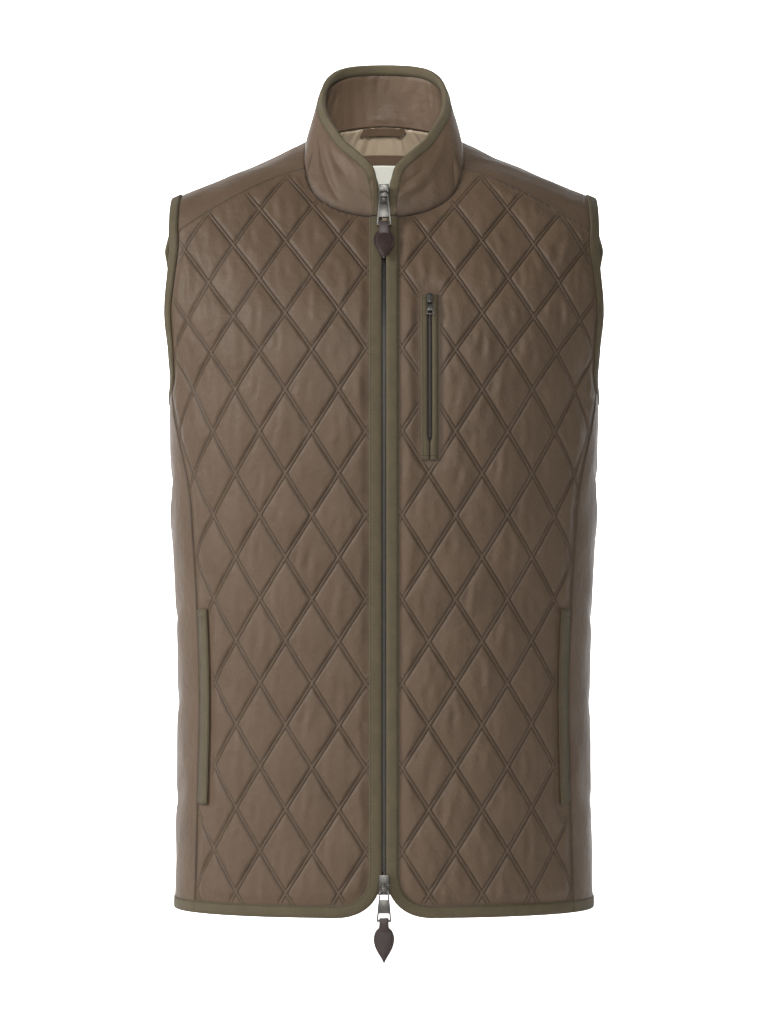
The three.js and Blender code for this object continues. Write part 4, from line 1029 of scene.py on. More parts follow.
class Panel:
    """A quilted panel on the flat: a slanting grid whose lines follow the stitching."""

    def __init__(self, outline, start, sizes, strips, seed, sign, sag):
        self.sizes = sizes
        self.seed = seed
        self.sign = sign
        self.sag = sag
        self.wide = sizes.quilt_wide / MM
        self.tall = sizes.quilt_tall / MM
        self.puff = sizes.quilt_puff / MM
        self.fade = sizes.seam_fade / MM
        across = (outline[:, 0] - start) / self.wide
        up = (outline[:, 1] - QUILT_UP) / self.tall
        p = across + up
        q = across - up
        p0, p1 = math.floor(p.min() - 0.5), math.ceil(p.max())
        q0, q1 = math.floor(q.min() - 1), math.ceil(q.max() - 0.5)
        ps = line_places(p1 - p0) + p0 + 0.5
        qs = line_places(q1 - q0) + q0 + 0.5
        grid_p, grid_q = np.meshgrid(ps, qs)
        a = start + self.wide * (grid_p + grid_q) / 2
        b = QUILT_UP + self.tall * (grid_p - grid_q) / 2
        flat = sagged(np.stack([a.ravel(), b.ravel()], 1), sag)
        faces = sheet_grid(len(ps) - 1, len(qs) - 1)[:, ::-1]
        held = inside(outline, flat)
        faces = faces[held[faces].any(1)]
        used = np.unique(faces)
        number = np.full(len(flat), -1)
        number[used] = np.arange(len(used))
        self.faces = number[faces]
        self.flat = flat[used]
        self.p = grid_p.ravel()[used]
        self.q = grid_q.ravel()[used]
        held = held[used]
        edge, foot = distance_to(np.vstack([outline, outline[:1]]), self.flat)
        self.flat[~held] = foot[~held]
        self.depth = np.where(held, edge, 0)
        pace = math.hypot(1 / self.wide, 1 / self.tall)
        self.from_p = np.abs(self.p - 0.5 - np.round(self.p - 0.5)) / pace
        self.from_q = np.abs(self.q - 0.5 - np.round(self.q - 0.5)) / pace
        self.strips = strips
        self.room = self.room_at(self.flat, self.depth)

    def room_at(self, flat, depth):
        """How far padding is let up: nothing under braid or a pocket, all of it well clear."""
        room = eased(depth / self.fade)
        for line, half, fade in self.strips:
            away = distance_to(line, flat)[0] - half
            room = room * eased(away / fade)
        return room

    def started(self):
        """Height of each point as padding alone would set it, with gathers by the stitching."""
        nearest = np.minimum(self.from_p, self.from_q)
        u = np.abs(np.sin(math.pi * (self.p - 0.5)))
        v = np.abs(np.sin(math.pi * (self.q - 0.5)))
        full = (u * v) ** FULL_POWER * self.puff
        a, b = self.flat[:, 0], self.flat[:, 1]
        uneven = 1 + 0.14 * ripples(a, b, 60, self.seed + 2)
        height = VALLEY + full * uneven
        row = np.clip(1 - nearest / NEEDLE_GAP, 0, 1)
        height = np.where(nearest < NEEDLE_GAP + 0.1, VALLEY + (RIDGE - VALLEY) * eased(row), height)
        return WALL_OUT + np.maximum(height, 0) * self.room

    def puckers(self):
        """Small folds where the stitching draws the cloth in, with one or two long ones a diamond."""
        nearest = np.minimum(self.from_p, self.from_q)
        a, b = self.flat[:, 0], self.flat[:, 1]
        small = 0.4 * ripples(a, b, 8, self.seed, (0.45, 1.5)) * np.exp(-nearest / 7)
        gathers = 0.6 * ripples(a, b, 8, self.seed + 3, (0.3, 1.5)) * np.exp(-self.depth / 20)
        soft = 0.35 * ripples(a, b, 17, self.seed + 1, (1.4, 0.4))
        i = np.round(self.p)
        j = np.round(self.q)
        da = self.sign * self.wide * ((self.p - i) + (self.q - j)) / 2
        db = self.tall * ((self.p - i) - (self.q - j)) / 2
        long = np.zeros(len(a))
        for k in range(3):
            chance, place, height, reach = (scattered(i, j, self.seed + 9 * k + n) for n in range(4))
            middle = lerp(*FOLD_MIDDLE, height)
            across = (da - lerp(*FOLD_PLACE, place) + FOLD_BOW * (db - middle) ** 2) / FOLD_WIDE
            ends = eased(1.5 * (1 - np.abs(db - middle) / lerp(*FOLD_REACH, reach)))
            deep = np.where(chance > 1 - FOLD_SHARE, lerp(*FOLD_DEEP, chance), 0)
            long += deep * across * np.exp(-(across**2) / 2) * ends
        clear = eased((nearest - NEEDLE_GAP) / 2.5)
        return (small + gathers + soft + long) * clear * self.room

    def painted_shade(self):
        """How much painted shade each point takes, most on the stitch lines where the cloth is drawn
        down.
        """
        nearest = np.minimum(self.from_p, self.from_q)
        return np.clip(1 - np.abs(nearest - NEEDLE_GAP) / 1.1, 0, 1) * eased(self.room * 3)

    def filled(self, name):
        """The points after the padding has pushed the cloth up between its stitches."""
        out = self.started()
        nearest = np.minimum(self.from_p, self.from_q)
        points = np.column_stack([self.flat, out])
        mesh = bpy.data.meshes.new(name + "_flat")
        mesh.from_pydata(points * MM, [], self.faces.tolist())
        cloth_object = bpy.data.objects.new(name + "_flat", mesh)
        bpy.context.scene.collection.objects.link(cloth_object)
        pins = cloth_object.vertex_groups.new(name="pins")
        fixed = (nearest < NEEDLE_GAP + 0.1) | (self.room < 0.02) | (self.depth < 0.5)
        pins.add(np.flatnonzero(fixed).tolist(), 1.0, "REPLACE")
        cloth = cloth_object.modifiers.new("Cloth", "CLOTH")
        settings = cloth.settings
        settings.quality = 4
        settings.mass = 0.25
        settings.tension_stiffness = 12
        settings.compression_stiffness = 4
        settings.shear_stiffness = 3
        settings.bending_stiffness = self.sizes.cloth_bend
        settings.use_pressure = True
        settings.uniform_pressure_force = self.sizes.cloth_pressure
        settings.shrink_min = -self.sizes.cloth_fullness
        settings.effector_weights.gravity = 0
        settings.vertex_group_mass = "pins"
        cloth.collision_settings.use_collision = False
        cloth.collision_settings.use_self_collision = False
        cloth.point_cache.frame_start = 1
        cloth.point_cache.frame_end = 30
        for step in range(1, self.sizes.cloth_steps + 1):
            bpy.context.scene.frame_set(step)
        shaped = cloth_object.evaluated_get(bpy.context.evaluated_depsgraph_get())
        result = np.empty(len(points) * 3, np.float32)
        shaped.data.vertices.foreach_get("co", result)
        result = result.reshape(-1, 3).astype(float) / MM
        bpy.context.scene.frame_set(1)
        bpy.data.objects.remove(cloth_object)
        moved = result - points
        shifted = np.clip(moved[:, :2], -SIDEWAYS_MOST, SIDEWAYS_MOST)
        moved[:, :2] = shifted * eased(self.room * 2)[:, None]
        # The simulated pillows are brought to the real height, and the highest are held down
        top = np.percentile(result[:, 2], 97)
        lifted = (result[:, 2] - WALL_OUT) * self.puff * 1.1 / max(top, 1)
        cap = self.puff * 1.35
        lifted = cap * np.tanh(np.maximum(lifted, 0) / cap)
        free = ~fixed
        points[free, :2] += moved[free, :2]
        points[free, 2] = WALL_OUT + lifted[free] * self.room[free]
        points[:, 2] = np.maximum(points[:, 2] + self.puckers(), WALL_OUT)
        return points

    def lining(self):
        """The inner cloth, which the same stitching holds and the padding lifts a little."""
        u = np.abs(np.sin(math.pi * (self.p - 0.5)))
        v = np.abs(np.sin(math.pi * (self.q - 0.5)))
        a, b = self.flat[:, 0], self.flat[:, 1]
        gathers = 0.2 * ripples(a, b, 11, self.seed + 5, (0.5, 1.4))
        return -WALL_IN + 0.9 - ((u * v) ** 0.7 * 1.5 + gathers) * self.room

    def stitch_places(self, outline, start, surface, sign, pitch):
        """Centres, directions and normals of the twin rows of quilting stitches."""
        wide, tall = self.wide, self.tall
        low, high = outline.min(0), outline.max(0)
        centres = []
        runs = []
        for slope in (1, -1):
            direction = np.array([wide, -slope * tall]) / math.hypot(wide, tall)
            beside = np.array([-direction[1], direction[0]])
            span = math.hypot(*(high - low))
            reach = int(span / 40) + 3
            middle = (low + high) / 2
            base = round((middle[0] - start) / wide + slope * (middle[1] - QUILT_UP) / tall)
            for k in range(-reach, reach + 1):
                # A line of this family crosses the panel's middle height here
                across = start + wide * (base + k + 0.5 - slope * (middle[1] - QUILT_UP) / tall)
                origin = np.array([across, middle[1]])
                for row in (-1, 1):
                    at = np.arange(-span, span, pitch) + (0.5 * pitch if row > 0 else 0)
                    places = origin + direction * at[:, None] + beside * row * NEEDLE_GAP
                    centres.append(places)
                    runs.append(np.repeat(direction[None], len(places), 0))
        centres = np.vstack(centres)
        runs = np.vstack(runs)
        close = ((centres > low) & (centres < high)).all(1)
        centres, runs = centres[close], runs[close]
        ahead = sagged(centres + runs, self.sag)
        centres = sagged(centres, self.sag)
        runs = ahead - centres
        kept = inside(outline, centres)
        centres, runs = centres[kept], runs[kept]
        depth = distance_to(np.vstack([outline, outline[:1]]), centres)[0]
        shown = depth > 1.2
        for line, half, _ in self.strips:
            shown &= distance_to(line, centres)[0] > half + 0.4
        centres, runs, depth = centres[shown], runs[shown], depth[shown]
        room = self.room_at(centres, depth)
        point, normal = surface(centres[:, 0], centres[:, 1], WALL_OUT + VALLEY * room + 0.12)
        ahead = surface(centres[:, 0] + runs[:, 0], centres[:, 1] + runs[:, 1])[0]
        base = surface(centres[:, 0], centres[:, 1])[0]
        flip = np.array([sign, 1, 1])
        return point * flip, (ahead - base) * flip, normal * flip


def quilted(name, outline, start, face, sign, strips, seed, sag=0.0):
    """One quilted panel with its lining and its stitching."""
    sizes = bpy.context.scene.vest_sizes
    panel = Panel(outline, start, sizes, strips, seed, sign, sag)
    points = panel.filled(name)
    flip = np.array([sign, 1, 1])
    outer = BODY[face](points[:, 0], points[:, 1], points[:, 2])[0] * flip
    inner = BODY[face](panel.flat[:, 0], panel.flat[:, 1], panel.lining())[0] * flip
    finishes = [finish_of("shell"), finish_of("lining")]
    # The outer cloth takes painted shade along its stitch lines
    obj = shell(f"quilted_{name}", outer, inner, panel.faces, finishes, panel.painted_shade())
    placed(obj, name)
    rows = panel.stitch_places(outline, start, BODY[face], sign, sizes.stitch_pitch / MM)
    stitched(f"quilting_stitches_{name}", [rows], finish_of("thread"))
    return obj


def length(name, description, millimetres):
    return bpy.props.FloatProperty(
        name=name,
        description=description,
        default=millimetres * MM,
        min=0,
        precision=4,
        subtype="DISTANCE",
        unit="LENGTH",
    )


class VestSizes(bpy.types.PropertyGroup):
    """Sizes that set the quilting, the braid and the sewing."""

    quilt_wide: length("Diamond width", "Width of a quilted diamond", 50.8)
    quilt_tall: length("Diamond height", "Height of a quilted diamond", 79.2)
    quilt_puff: length("Puff", "Height of the padding at a diamond's middle", 3.7)
    seam_fade: length("Seam fade", "Distance in from a seam where padding is full", 13)
    braid_leg: length("Braid width", "Width of the braid that shows outside", 10)
    stitch_pitch: length("Stitch pitch", "Distance from one stitch to the next", 3.0)
    cloth_pressure: bpy.props.FloatProperty(
        name="Padding pressure", description="Push of the padding on the cloth", default=5, min=0
    )
    cloth_fullness: bpy.props.FloatProperty(
        name="Cloth fullness",
        description="Share of spare cloth between stitches",
        default=0.04,
        min=0,
        subtype="FACTOR",
    )
    cloth_bend: bpy.props.FloatProperty(
        name="Cloth bend", description="Stiffness of the cloth against a fold", default=0.15, min=0
    )
    cloth_steps: bpy.props.IntProperty(
        name="Cloth steps", description="Frames that the cloth is given to settle", default=12, min=1
    )


def shade(name, value):
    return bpy.props.FloatVectorProperty(
        name=name,
        description=f"Colour of the {name.lower()}",
        default=linear(value),
        size=4,
        min=0,
        max=1,
        subtype="COLOR",
    )


class VestColours(bpy.types.PropertyGroup):
    """The two tones that each finish runs between."""

    shell_dark: shade("Shell shade", "#4e3e2f")
    shell_light: shade("Shell light", "#635140")
    lining_dark: shade("Lining shade", "#8d7d67")
    lining_light: shade("Lining light", "#ac9c86")
    braid_dark: shade("Braid shade", "#473f2f")
    braid_light: shade("Braid light", "#605641")
    tape_dark: shade("Tape shade", "#17120f")
    tape_light: shade("Tape light", "#2e2520")
    metal_dark: shade("Metal shade", "#474542")
    metal_light: shade("Metal light", "#7d7a75")
    leather_dark: shade("Leather shade", "#231716")
    leather_light: shade("Leather light", "#3d2c28")
    label_dark: shade("Label shade", "#c8c9bc")
    label_light: shade("Label light", "#d9d9cf")
    thread_dark: shade("Thread shade", "#2c221b")
    thread_light: shade("Thread light", "#443629")
    floor: shade("Floor", "#f7f7f7")


def front_strips(sign):
    """Lines on a front that hold the padding down: each with its half width and its fade."""
    strips = [
        (FRONT_EDGE[::4], BRAID_HOLD, EDGE_FADE),
        (ARM["front"][::3], BRAID_HOLD, ARM_FADE),
    ]
    welt = HIP_LINE - np.array([HIP_WIDE / 2, 0])
    strips.append((welt[::6], HIP_WIDE / 2 + 1.5, EDGE_FADE))
    if sign > 0:
        strips.append((CHEST_LINE[::6], CHEST_LIP + CHEST_SLOT / 2 + 1.4, ARM_FADE))
    return strips


class VEST_OT_fronts(bpy.types.Operator):
    """Models the two quilted fronts"""

    bl_idname = "vest.fronts"
    bl_label = "Fronts"

    def execute(self, context):
        for name, sign in SIDES:
            strips = front_strips(sign)
            seed = 3 + sign
            quilted(f"front_{name}", FRONT_OUTLINE, FRONT_START, "front", sign, strips, seed, QUILT_SAG)
        return {"FINISHED"}


class VEST_OT_back(bpy.types.Operator):
    """Models the quilted back"""

    bl_idname = "vest.back"
    bl_label = "Back"

    def execute(self, context):
        arm = ARM["back"][::3]
        hem = np.vstack([BACK_HEM[::-1] * (-1, 1), BACK_HEM[1:]])[::6]
        strips = [
            (arm, BRAID_HOLD, ARM_FADE),
            (arm * (-1, 1), BRAID_HOLD, ARM_FADE),
            (hem, BRAID_HOLD, EDGE_FADE),
        ]
        quilted("back", BACK_OUTLINE, 0, "back", 1, strips, 11)
        return {"FINISHED"}


# Side panels
SIDE_WIDE = 140
SIDE_BEND = 60
# Drag lines: share across, height, share across, height, width and lift
SIDE_DRAGS = [
    (0.2, -300, 0.75, -345, 9, -1.6),
    (0.3, -330, 0.8, -400, 10, 1.2),
    (0.15, -430, 0.8, -475, 12, -1.4),
    (0.25, -520, 0.9, -560, 12, -1.2),
    (0.1, -610, 0.7, -640, 10, -1.3),
    (0.45, -280, 0.5, -700, 26, 1.6),
]


def side_points(sign, lift):
    """Points of a side panel, its faces and the painted shade of each point, from how near it lies to a
    side seam.
    """
    share, run, faces = share_grid(40, 190)
    y, top = under_arm(share)
    z = lerp(HEM_Z, top, run)
    front = seam_across("front", np.minimum(z, ARM_ENDS["front"][0]))
    whole = quarter_length("front", z) + quarter_length("back", z)
    back = whole - seam_across("back", np.minimum(z, ARM_ENDS["back"][0]))
    # Towards the armhole the panel's rows bend with it, and its borders stay on the seams
    off_front = front - across_at(np.full(len(z), y.min()), z)
    off_back = back - across_at(np.full(len(z), y.max()), z)
    bent = across_at(y, z) + lerp(off_front, off_back, share)
    near_top = eased((z - (top - SIDE_BEND)) / SIDE_BEND)
    across = lerp(lerp(front, back, share), bent, near_top)
    a = share * SIDE_WIDE
    out = creased(a, z, spread(SIDE_DRAGS, SIDE_WIDE)) + 0.35 * ripples(a, z, 38, 31 + sign, (1, 0.6))
    edge = eased(np.minimum(share, 1 - share) / 0.12) * eased((1 - run) / 0.05) * eased(run / 0.03)
    out = lift + out * edge
    point = BODY["front"](across, up_at("front", z), out)[0]
    # Painted shade along both side seams, strongest on the seam and gone 2.5 mm from it
    painted_seam_shade = np.clip(1 - np.minimum(share, 1 - share) * SIDE_WIDE / 2.5, 0, 1)
    return point * (sign, 1, 1), faces, painted_seam_shade


class VEST_OT_side_panels(bpy.types.Operator):
    """Models the plain side panels"""

    bl_idname = "vest.side_panels"
    bl_label = "Side panels"

    def execute(self, context):
        for name, sign in SIDES:
            outer, faces, painted_seam_shade = side_points(sign, 1.0)
            inner = side_points(sign, -1.4)[0]
            finishes = [finish_of("shell"), finish_of("lining")]
            obj = shell(f"side_panel_{name}", outer, inner, faces, finishes, painted_seam_shade)
            placed(obj, f"side_{name}")
        return {"FINISHED"}


# Yoke
YOKE_ROUND = 620
YOKE_LONG = 130
# Folds: share across, height, share across, height, width and lift
YOKE_FOLDS = [
    (0.05, 30, 0.2, 90, 10, 0.8),
    (0.3, 10, 0.24, 110, 14, 1.2),
    (0.7, 10, 0.76, 110, 14, 1.2),
    (0.45, 20, 0.4, 110, 12, -0.8),
    (0.95, 25, 0.8, 95, 10, -0.7),
]


class VEST_OT_yoke(bpy.types.Operator):
    """Models the yoke that runs over both shoulders and the upper back"""

    bl_idname = "vest.yoke"
    bl_label = "Yoke"

    def execute(self, context):
        s, t, faces = share_grid(220, 46)
        a, b = s * YOKE_ROUND, t * YOKE_LONG
        body = creased(a, b, spread(YOKE_FOLDS, YOKE_ROUND)) + 0.3 * ripples(a, b, 34, 41, (1, 0.7))
        edge = eased(t / 0.12) * eased((1 - t) / 0.1) * eased(np.minimum(s, 1 - s) / 0.02)
        outer = yoke_surface(s, t, 0.6 + (1.0 + body) * edge)[0]
        inner = yoke_surface(s, t, -1.6 - 0.3 * edge)[0]
        # Painted shade within 2 mm of the yoke's seams: its shoulder ends, its neck edge and, behind,
        # its lower edge
        ends = np.minimum(s, 1 - s) * YOKE_ROUND
        behind = np.where(ends > YOKE_ROUND / 4, (1 - t) * YOKE_LONG, YOKE_LONG)
        painted_seam_shade = np.clip(1 - np.minimum(np.minimum(ends, behind), t * YOKE_LONG) / 2, 0, 1)
        finishes = [finish_of("shell"), finish_of("lining")]
        obj = shell("shoulder_yoke", outer, inner, faces, finishes, painted_seam_shade)
        placed(obj, "yoke")
        return {"FINISHED"}


# Folds of the collar: share round, height, share round, height, width and lift
COLLAR_FOLDS = [
    (0.735, 44, 0.865, 6, 3.2, -1.9),
    (0.765, 50, 0.895, 12, 5.5, 1.3),
    (0.8, 46, 0.87, 35, 3, -1.3),
    (0.84, 54, 0.91, 42, 3.2, 1.1),
    (0.9, 30, 0.97, 24, 3.5, -0.8),
    (0.26, 50, 0.12, 30, 7, 1.2),
    (0.15, 40, 0.04, 33, 3.6, -1.2),
    (0.16, 31, 0.04, 24, 4.2, 1.0),
    (0.17, 24, 0.07, 14, 4, -1.0),
    (0.245, 24, 0.228, 2, 2.4, -1.4),
    (0.4, 8, 0.44, 62, 6, -0.6),
    (0.55, 10, 0.52, 60, 7, 0.6),
]
COLLAR_SIDE_SEAMS = (0.262, 0.738)
COLLAR_BRAID_LEG = 7
BRAID_FLAT = 0.021


class VEST_OT_collar(bpy.types.Operator):
    """Models the padded stand collar"""

    bl_idname = "vest.collar"
    bl_label = "Collar"

    def execute(self, context):
        s, t, faces = share_grid(300, 52)
        a, b = s * COLLAR_ROUND, t * COLLAR_HIGH
        soft = creased(a, b, spread(COLLAR_FOLDS, COLLAR_ROUND)) + 0.22 * ripples(a, b, 22, 51, (1, 0.5))
        from_front = np.minimum(a, COLLAR_ROUND - a)
        from_braid = np.minimum(from_front, COLLAR_HIGH - b) - COLLAR_BRAID_LEG
        edge = eased(b / 8) * eased((from_braid + 1) / 6)
        seam = sum(np.exp(-(((a - k * COLLAR_ROUND) / 1.1) ** 2)) for k in COLLAR_SIDE_SEAMS)
        seam = seam * eased((28 - b) / 8)
        outer = collar_surface(s, t, 0.2 + (1.1 + soft) * edge - 1.2 * seam * edge)[0]
        wrinkle = 0.6 * ripples(a, b, 24, 57, (1.2, 0.25)) + 0.4 * ripples(a, b, 9, 58, (1.3, 0.3))
        inner = collar_surface(s, t, -COLLAR_THICK + 0.5 - (0.8 + wrinkle) * edge)[0]
        # Painted shade at the collar's foot by the neck seam and along its two side seams
        painted_seam_shade = np.clip(1 - (b - 1.5) / 2.5, 0, 1) + np.clip(seam * 1.2, 0, 1) * edge
        obj = shell("stand_collar", outer, inner, faces, [finish_of("shell")], np.clip(painted_seam_shade, 0, 1))
        placed(obj, "collar")
        return {"FINISHED"}


def braid_section(leg, out, inner_leg, under, edge, thick=0.8):
    """A braid folded over an edge: outside leg, round fold and inside leg."""
    outer = [(leg, out - 0.35), (leg - 0.2, out + thick * 0.8), (leg * 0.6, out + thick + 0.15)]
    outer += [(leg * 0.2, out + thick + 0.05)]
    middle = (out + under) / 2
    radius = (out - under) / 2 + thick
    for angle in np.linspace(75, -75, 7):
        turned = math.radians(angle)
        outer.append((-edge - radius * 0.55 * math.cos(turned), middle + radius * math.sin(turned)))
    inner = [(inner_leg * 0.5, under - thick), (inner_leg, under - thick * 0.8)]
    inner += [(inner_leg, under), (0, under), (-edge * 0.5, middle), (0, out)]
    return np.array(outer + inner)


def armhole_places(sign):
    """Places round the armhole: front, over the yoke, back and under the arm."""
    s = np.linspace(0, YOKE_TURN, 60)[1:-1] / 2
    over, normal = yoke_surface(s, np.ones_like(s), 1.0)
    inward = unit(yoke_points(s, np.full_like(s, 0.97)) - over)
    flip = np.array([sign, 1, 1])
    share = np.linspace(0, 1, 40)[1:-1]
    y, z = under_arm(share)
    under_line = np.stack([across_at(y, z), up_at("front", z)], 1)
    under = stations(BODY["front"], under_line, sign, np.tile([0.0, -1.0], (len(z), 1)))
    front = stations(BODY["front"], ARM["front"], sign)
    back = stations(BODY["back"], ARM["back"], sign)
    parts = [
        front,
        (over * flip, inward * flip, normal * flip),
        tuple(v[::-1] for v in back),
        tuple(v[::-1] for v in under),
    ]
    point, inward, normal = (np.vstack([part[k] for part in parts]) for k in range(3))
    return softened(point, inward, normal)


def softened(point, inward, normal, passes=3):
    """Evens the places along a loop and smooths their directions."""
    closed = [np.vstack([v, v[:1]]) for v in (point, inward, normal)]
    length = walked(closed[0])
    at = np.linspace(0, length[-1], int(length[-1] / 2.5))[:-1]
    read = [np.stack([np.interp(at, length, v[:, k]) for k in range(3)], 1) for v in closed]
    for _ in range(passes):
        read = [(np.roll(v, 1, 0) + 2 * v + np.roll(v, -1, 0)) / 4 for v in read]
    point, inward, normal = read
    normal = unit(normal)
    inward -= normal * (inward * normal).sum(1)[:, None]
    return point, unit(inward), normal


def hem_places():
    """Places along the side and back hems, from the wearer's left round to the right."""
    rows = []
    for sign in (1, -1):
        share = np.linspace(0, 1, 60)
        z = np.full(60, HEM_Z)
        front = seam_across("front", z)
        whole = quarter_length("front", z) + quarter_length("back", z)
        across = lerp(front, whole - seam_across("back", z), share)
        line = np.stack([across, up_at("front", z)], 1)
        rows.append(stations(BODY["front"], line, sign, np.tile([0.0, 1.0], (60, 1))))
    back_line = np.vstack([BACK_HEM[::-1], BACK_HEM[1:] * (-1, 1)])
    back = stations(BODY["back"], back_line, 1, np.tile([0.0, 1.0], (len(back_line), 1)))
    parts = [rows[0], tuple(v[1:-1] for v in back), tuple(v[::-1] for v in rows[1])]
    return tuple(np.vstack([part[k] for part in parts]) for k in range(3))


def collar_places():
    """Places up one front edge of the collar, along its top and down the other."""
    up = np.linspace(0.06, 1, 26)
    over = np.linspace(0, 1, 260)
    s = np.concatenate([np.zeros(25), over, np.ones(25)])
    t = np.concatenate([up[:-1], np.ones(260), up[:-1][::-1]])
    point, normal = collar_surface(s, t)
    run = np.gradient(point, axis=0)
    for _ in range(4):
        padded = np.vstack([run[:1], run, run[-1:]])
        run = (padded[:-2] + 2 * padded[1:-1] + padded[2:]) / 4
    inward = unit(np.cross(run, normal))
    return point, inward, normal


def strip(name, node, places, section, finish, slot, flat, rests_on, held="folded", **more):
    """A woven strip on the vest that stands for a CAD node."""
    obj = swept(name, places, section, finish_of(finish), **more)
    placed(obj, node)
    return obj


def braided(name, places, section, long, rests_on, seed, looped=False):
    flat = (BRAID_FLAT, long)
    return strip(
        f"braid_{name}",
        f"binding_{name}",
        places,
        section,
        "braid",
        "braid",
        flat,
        rests_on,
        looped=looped,
        wave=0.12,
        seed=seed,
    )


class VEST_OT_braid(bpy.types.Operator):
    """Models the braid bound over every edge, with its edge stitching"""

    bl_idname = "vest.braid"
    bl_label = "Braid"

    def execute(self, context):
        leg = context.scene.vest_sizes.braid_leg / MM
        rows = []
        panel = braid_section(leg, out=0.75, inner_leg=8, under=-3.2, edge=0.6)
        arm_section = braid_section(leg - 1.2, out=0.95, inner_leg=8, under=-3.4, edge=0.8)
        for name, sign in SIDES:
            edge = stations(BODY["front"], evened(FRONT_EDGE), sign)
            braided(f"front_{name}", edge, panel, 0.85, [f"front_{name}"], 1)
            rows.append(seam_stitches(edge, away=leg - 1.3, out=1.75))
            arm = armhole_places(sign)
            held_by = [f"front_{name}", "yoke", "back", f"side_{name}"]
            braided(f"armhole_{name}", arm, arm_section, 0.56, held_by, 2, True)
            rows.append(seam_stitches(arm, away=leg - 2.5, out=1.95))
        hem = hem_places()
        braided("hem", hem, panel, 0.68, ["back", "side_right", "side_left"], 3)
        rows.append(seam_stitches(hem, away=leg - 1.3, out=1.75))
        collar = collar_places()
        under = -COLLAR_THICK - 0.1
        section = braid_section(COLLAR_BRAID_LEG, out=0.6, inner_leg=7.5, under=under, edge=0.9)
        braided("collar", collar, section, 0.46, ["collar"], 4)
        rows.append(seam_stitches(collar, away=COLLAR_BRAID_LEG - 1.2, out=1.6))
        stitched("braid_stitches", rows, finish_of("thread"))
        return {"FINISHED"}


# Hard pieces
def alone():
    if bpy.context.object and bpy.context.object.mode != "OBJECT":
        bpy.ops.object.mode_set(mode="OBJECT")
    bpy.ops.object.select_all(action="DESELECT")


def applied(obj, kind, **settings):
    """Adds a modifier to the piece and applies it."""
    modifier = obj.modifiers.new(kind.title(), kind)
    for name, value in settings.items():
        setattr(modifier, name, value)
    alone()
    obj.select_set(True)
    bpy.context.view_layer.objects.active = obj
    bpy.ops.object.modifier_apply(modifier=modifier.name)


def block(low, high, bevel=0.3, taper=1.0):
    """A bevelled block between two corners, its foot narrowed or widened by taper."""
    low, high = np.array(low, float), np.array(high, float)
    alone()
    bpy.ops.mesh.primitive_cube_add(
        size=1, location=tuple((low + high) / 2 * MM), scale=tuple((high - low) * MM)
    )
    obj = bpy.context.object
    bpy.ops.object.transform_apply(location=True, rotation=True, scale=True)
    if taper != 1:
        middle = (low[0] + high[0]) / 2 * MM
        for vertex in obj.data.vertices:
            if vertex.co.z < (low[2] + high[2]) / 2 * MM:
                vertex.co.x = middle + (vertex.co.x - middle) * taper
    applied(obj, "BEVEL", width=bevel * MM, segments=2, limit_method="NONE")
    return obj


ALONG_X = (0, math.pi / 2, 0)


def rod(centre, radius, long):
    """A bevelled rod along X."""
    alone()
    bpy.ops.mesh.primitive_cylinder_add(
        vertices=24,
        radius=radius * MM,
        depth=long * MM,
        location=tuple(np.array(centre) * MM),
        rotation=ALONG_X,
    )
    obj = bpy.context.object
    bpy.ops.object.transform_apply(location=True, rotation=True, scale=True)
    applied(obj, "BEVEL", width=0.2 * MM, segments=2, limit_method="ANGLE")
    return obj


def ring(radius, thick):
    """A round eye about the X axis."""
    alone()
    bpy.ops.mesh.primitive_torus_add(
        major_radius=radius * MM,
        minor_radius=thick * MM,
        major_segments=28,
        minor_segments=10,
        location=(0, 0, 0),
        rotation=ALONG_X,
    )
    obj = bpy.context.object
    bpy.ops.object.transform_apply(location=True, rotation=True, scale=True)
    return obj


def assembled(name, parts, place, finish, body, node):
    """Joins hard parts into one piece, lays it on the vest and finishes it."""
    alone()
    for part in parts:
        part.select_set(True)
    bpy.context.view_layer.objects.active = parts[0]
    bpy.ops.object.join()
    obj = parts[0]
    obj.name = name
    obj.data.name = name
    obj.data.materials.clear()
    obj.data.materials.append(finish_of(finish))
    obj.data.transform(place)
    if place.determinant() < 0:
        obj.data.flip_normals()
    bpy.ops.object.shade_smooth_by_angle(angle=math.radians(40))
    obj.matrix_world = Matrix.Identity(4)
    return placed(obj, node, body)


def slider_parts(drop, neck_back):
    """A slider: rounded plate, two side rails, throat, and ears that hold the pin."""
    foot = drop - 19
    return [
        block((-5, -4.7, foot), (5, -2.7, drop), 0.7, 0.86),
        block((-5, -3.2, foot + 1), (-4, -0.8, drop - 1.5), 0.3),
        block((4, -3.2, foot + 1), (5, -0.8, drop - 1.5), 0.3),
        block((-1.7, -3.2, foot + 1.2), (1.7, neck_back, drop - 1.2), 0.4),
        block((-4.4, -PIN_OUT - 1.2, -1.8), (-3.1, -4.3, 1.8), 0.3),
        block((3.1, -PIN_OUT - 1.2, -1.8), (4.4, -4.3, 1.8), 0.3),
        rod((0, -PIN_OUT, 0), 1.0, 8.4),
        block((-2.2, -5.5, foot + 1.6), (2.2, -4.5, -3.2), 0.4, 0.7),
    ]


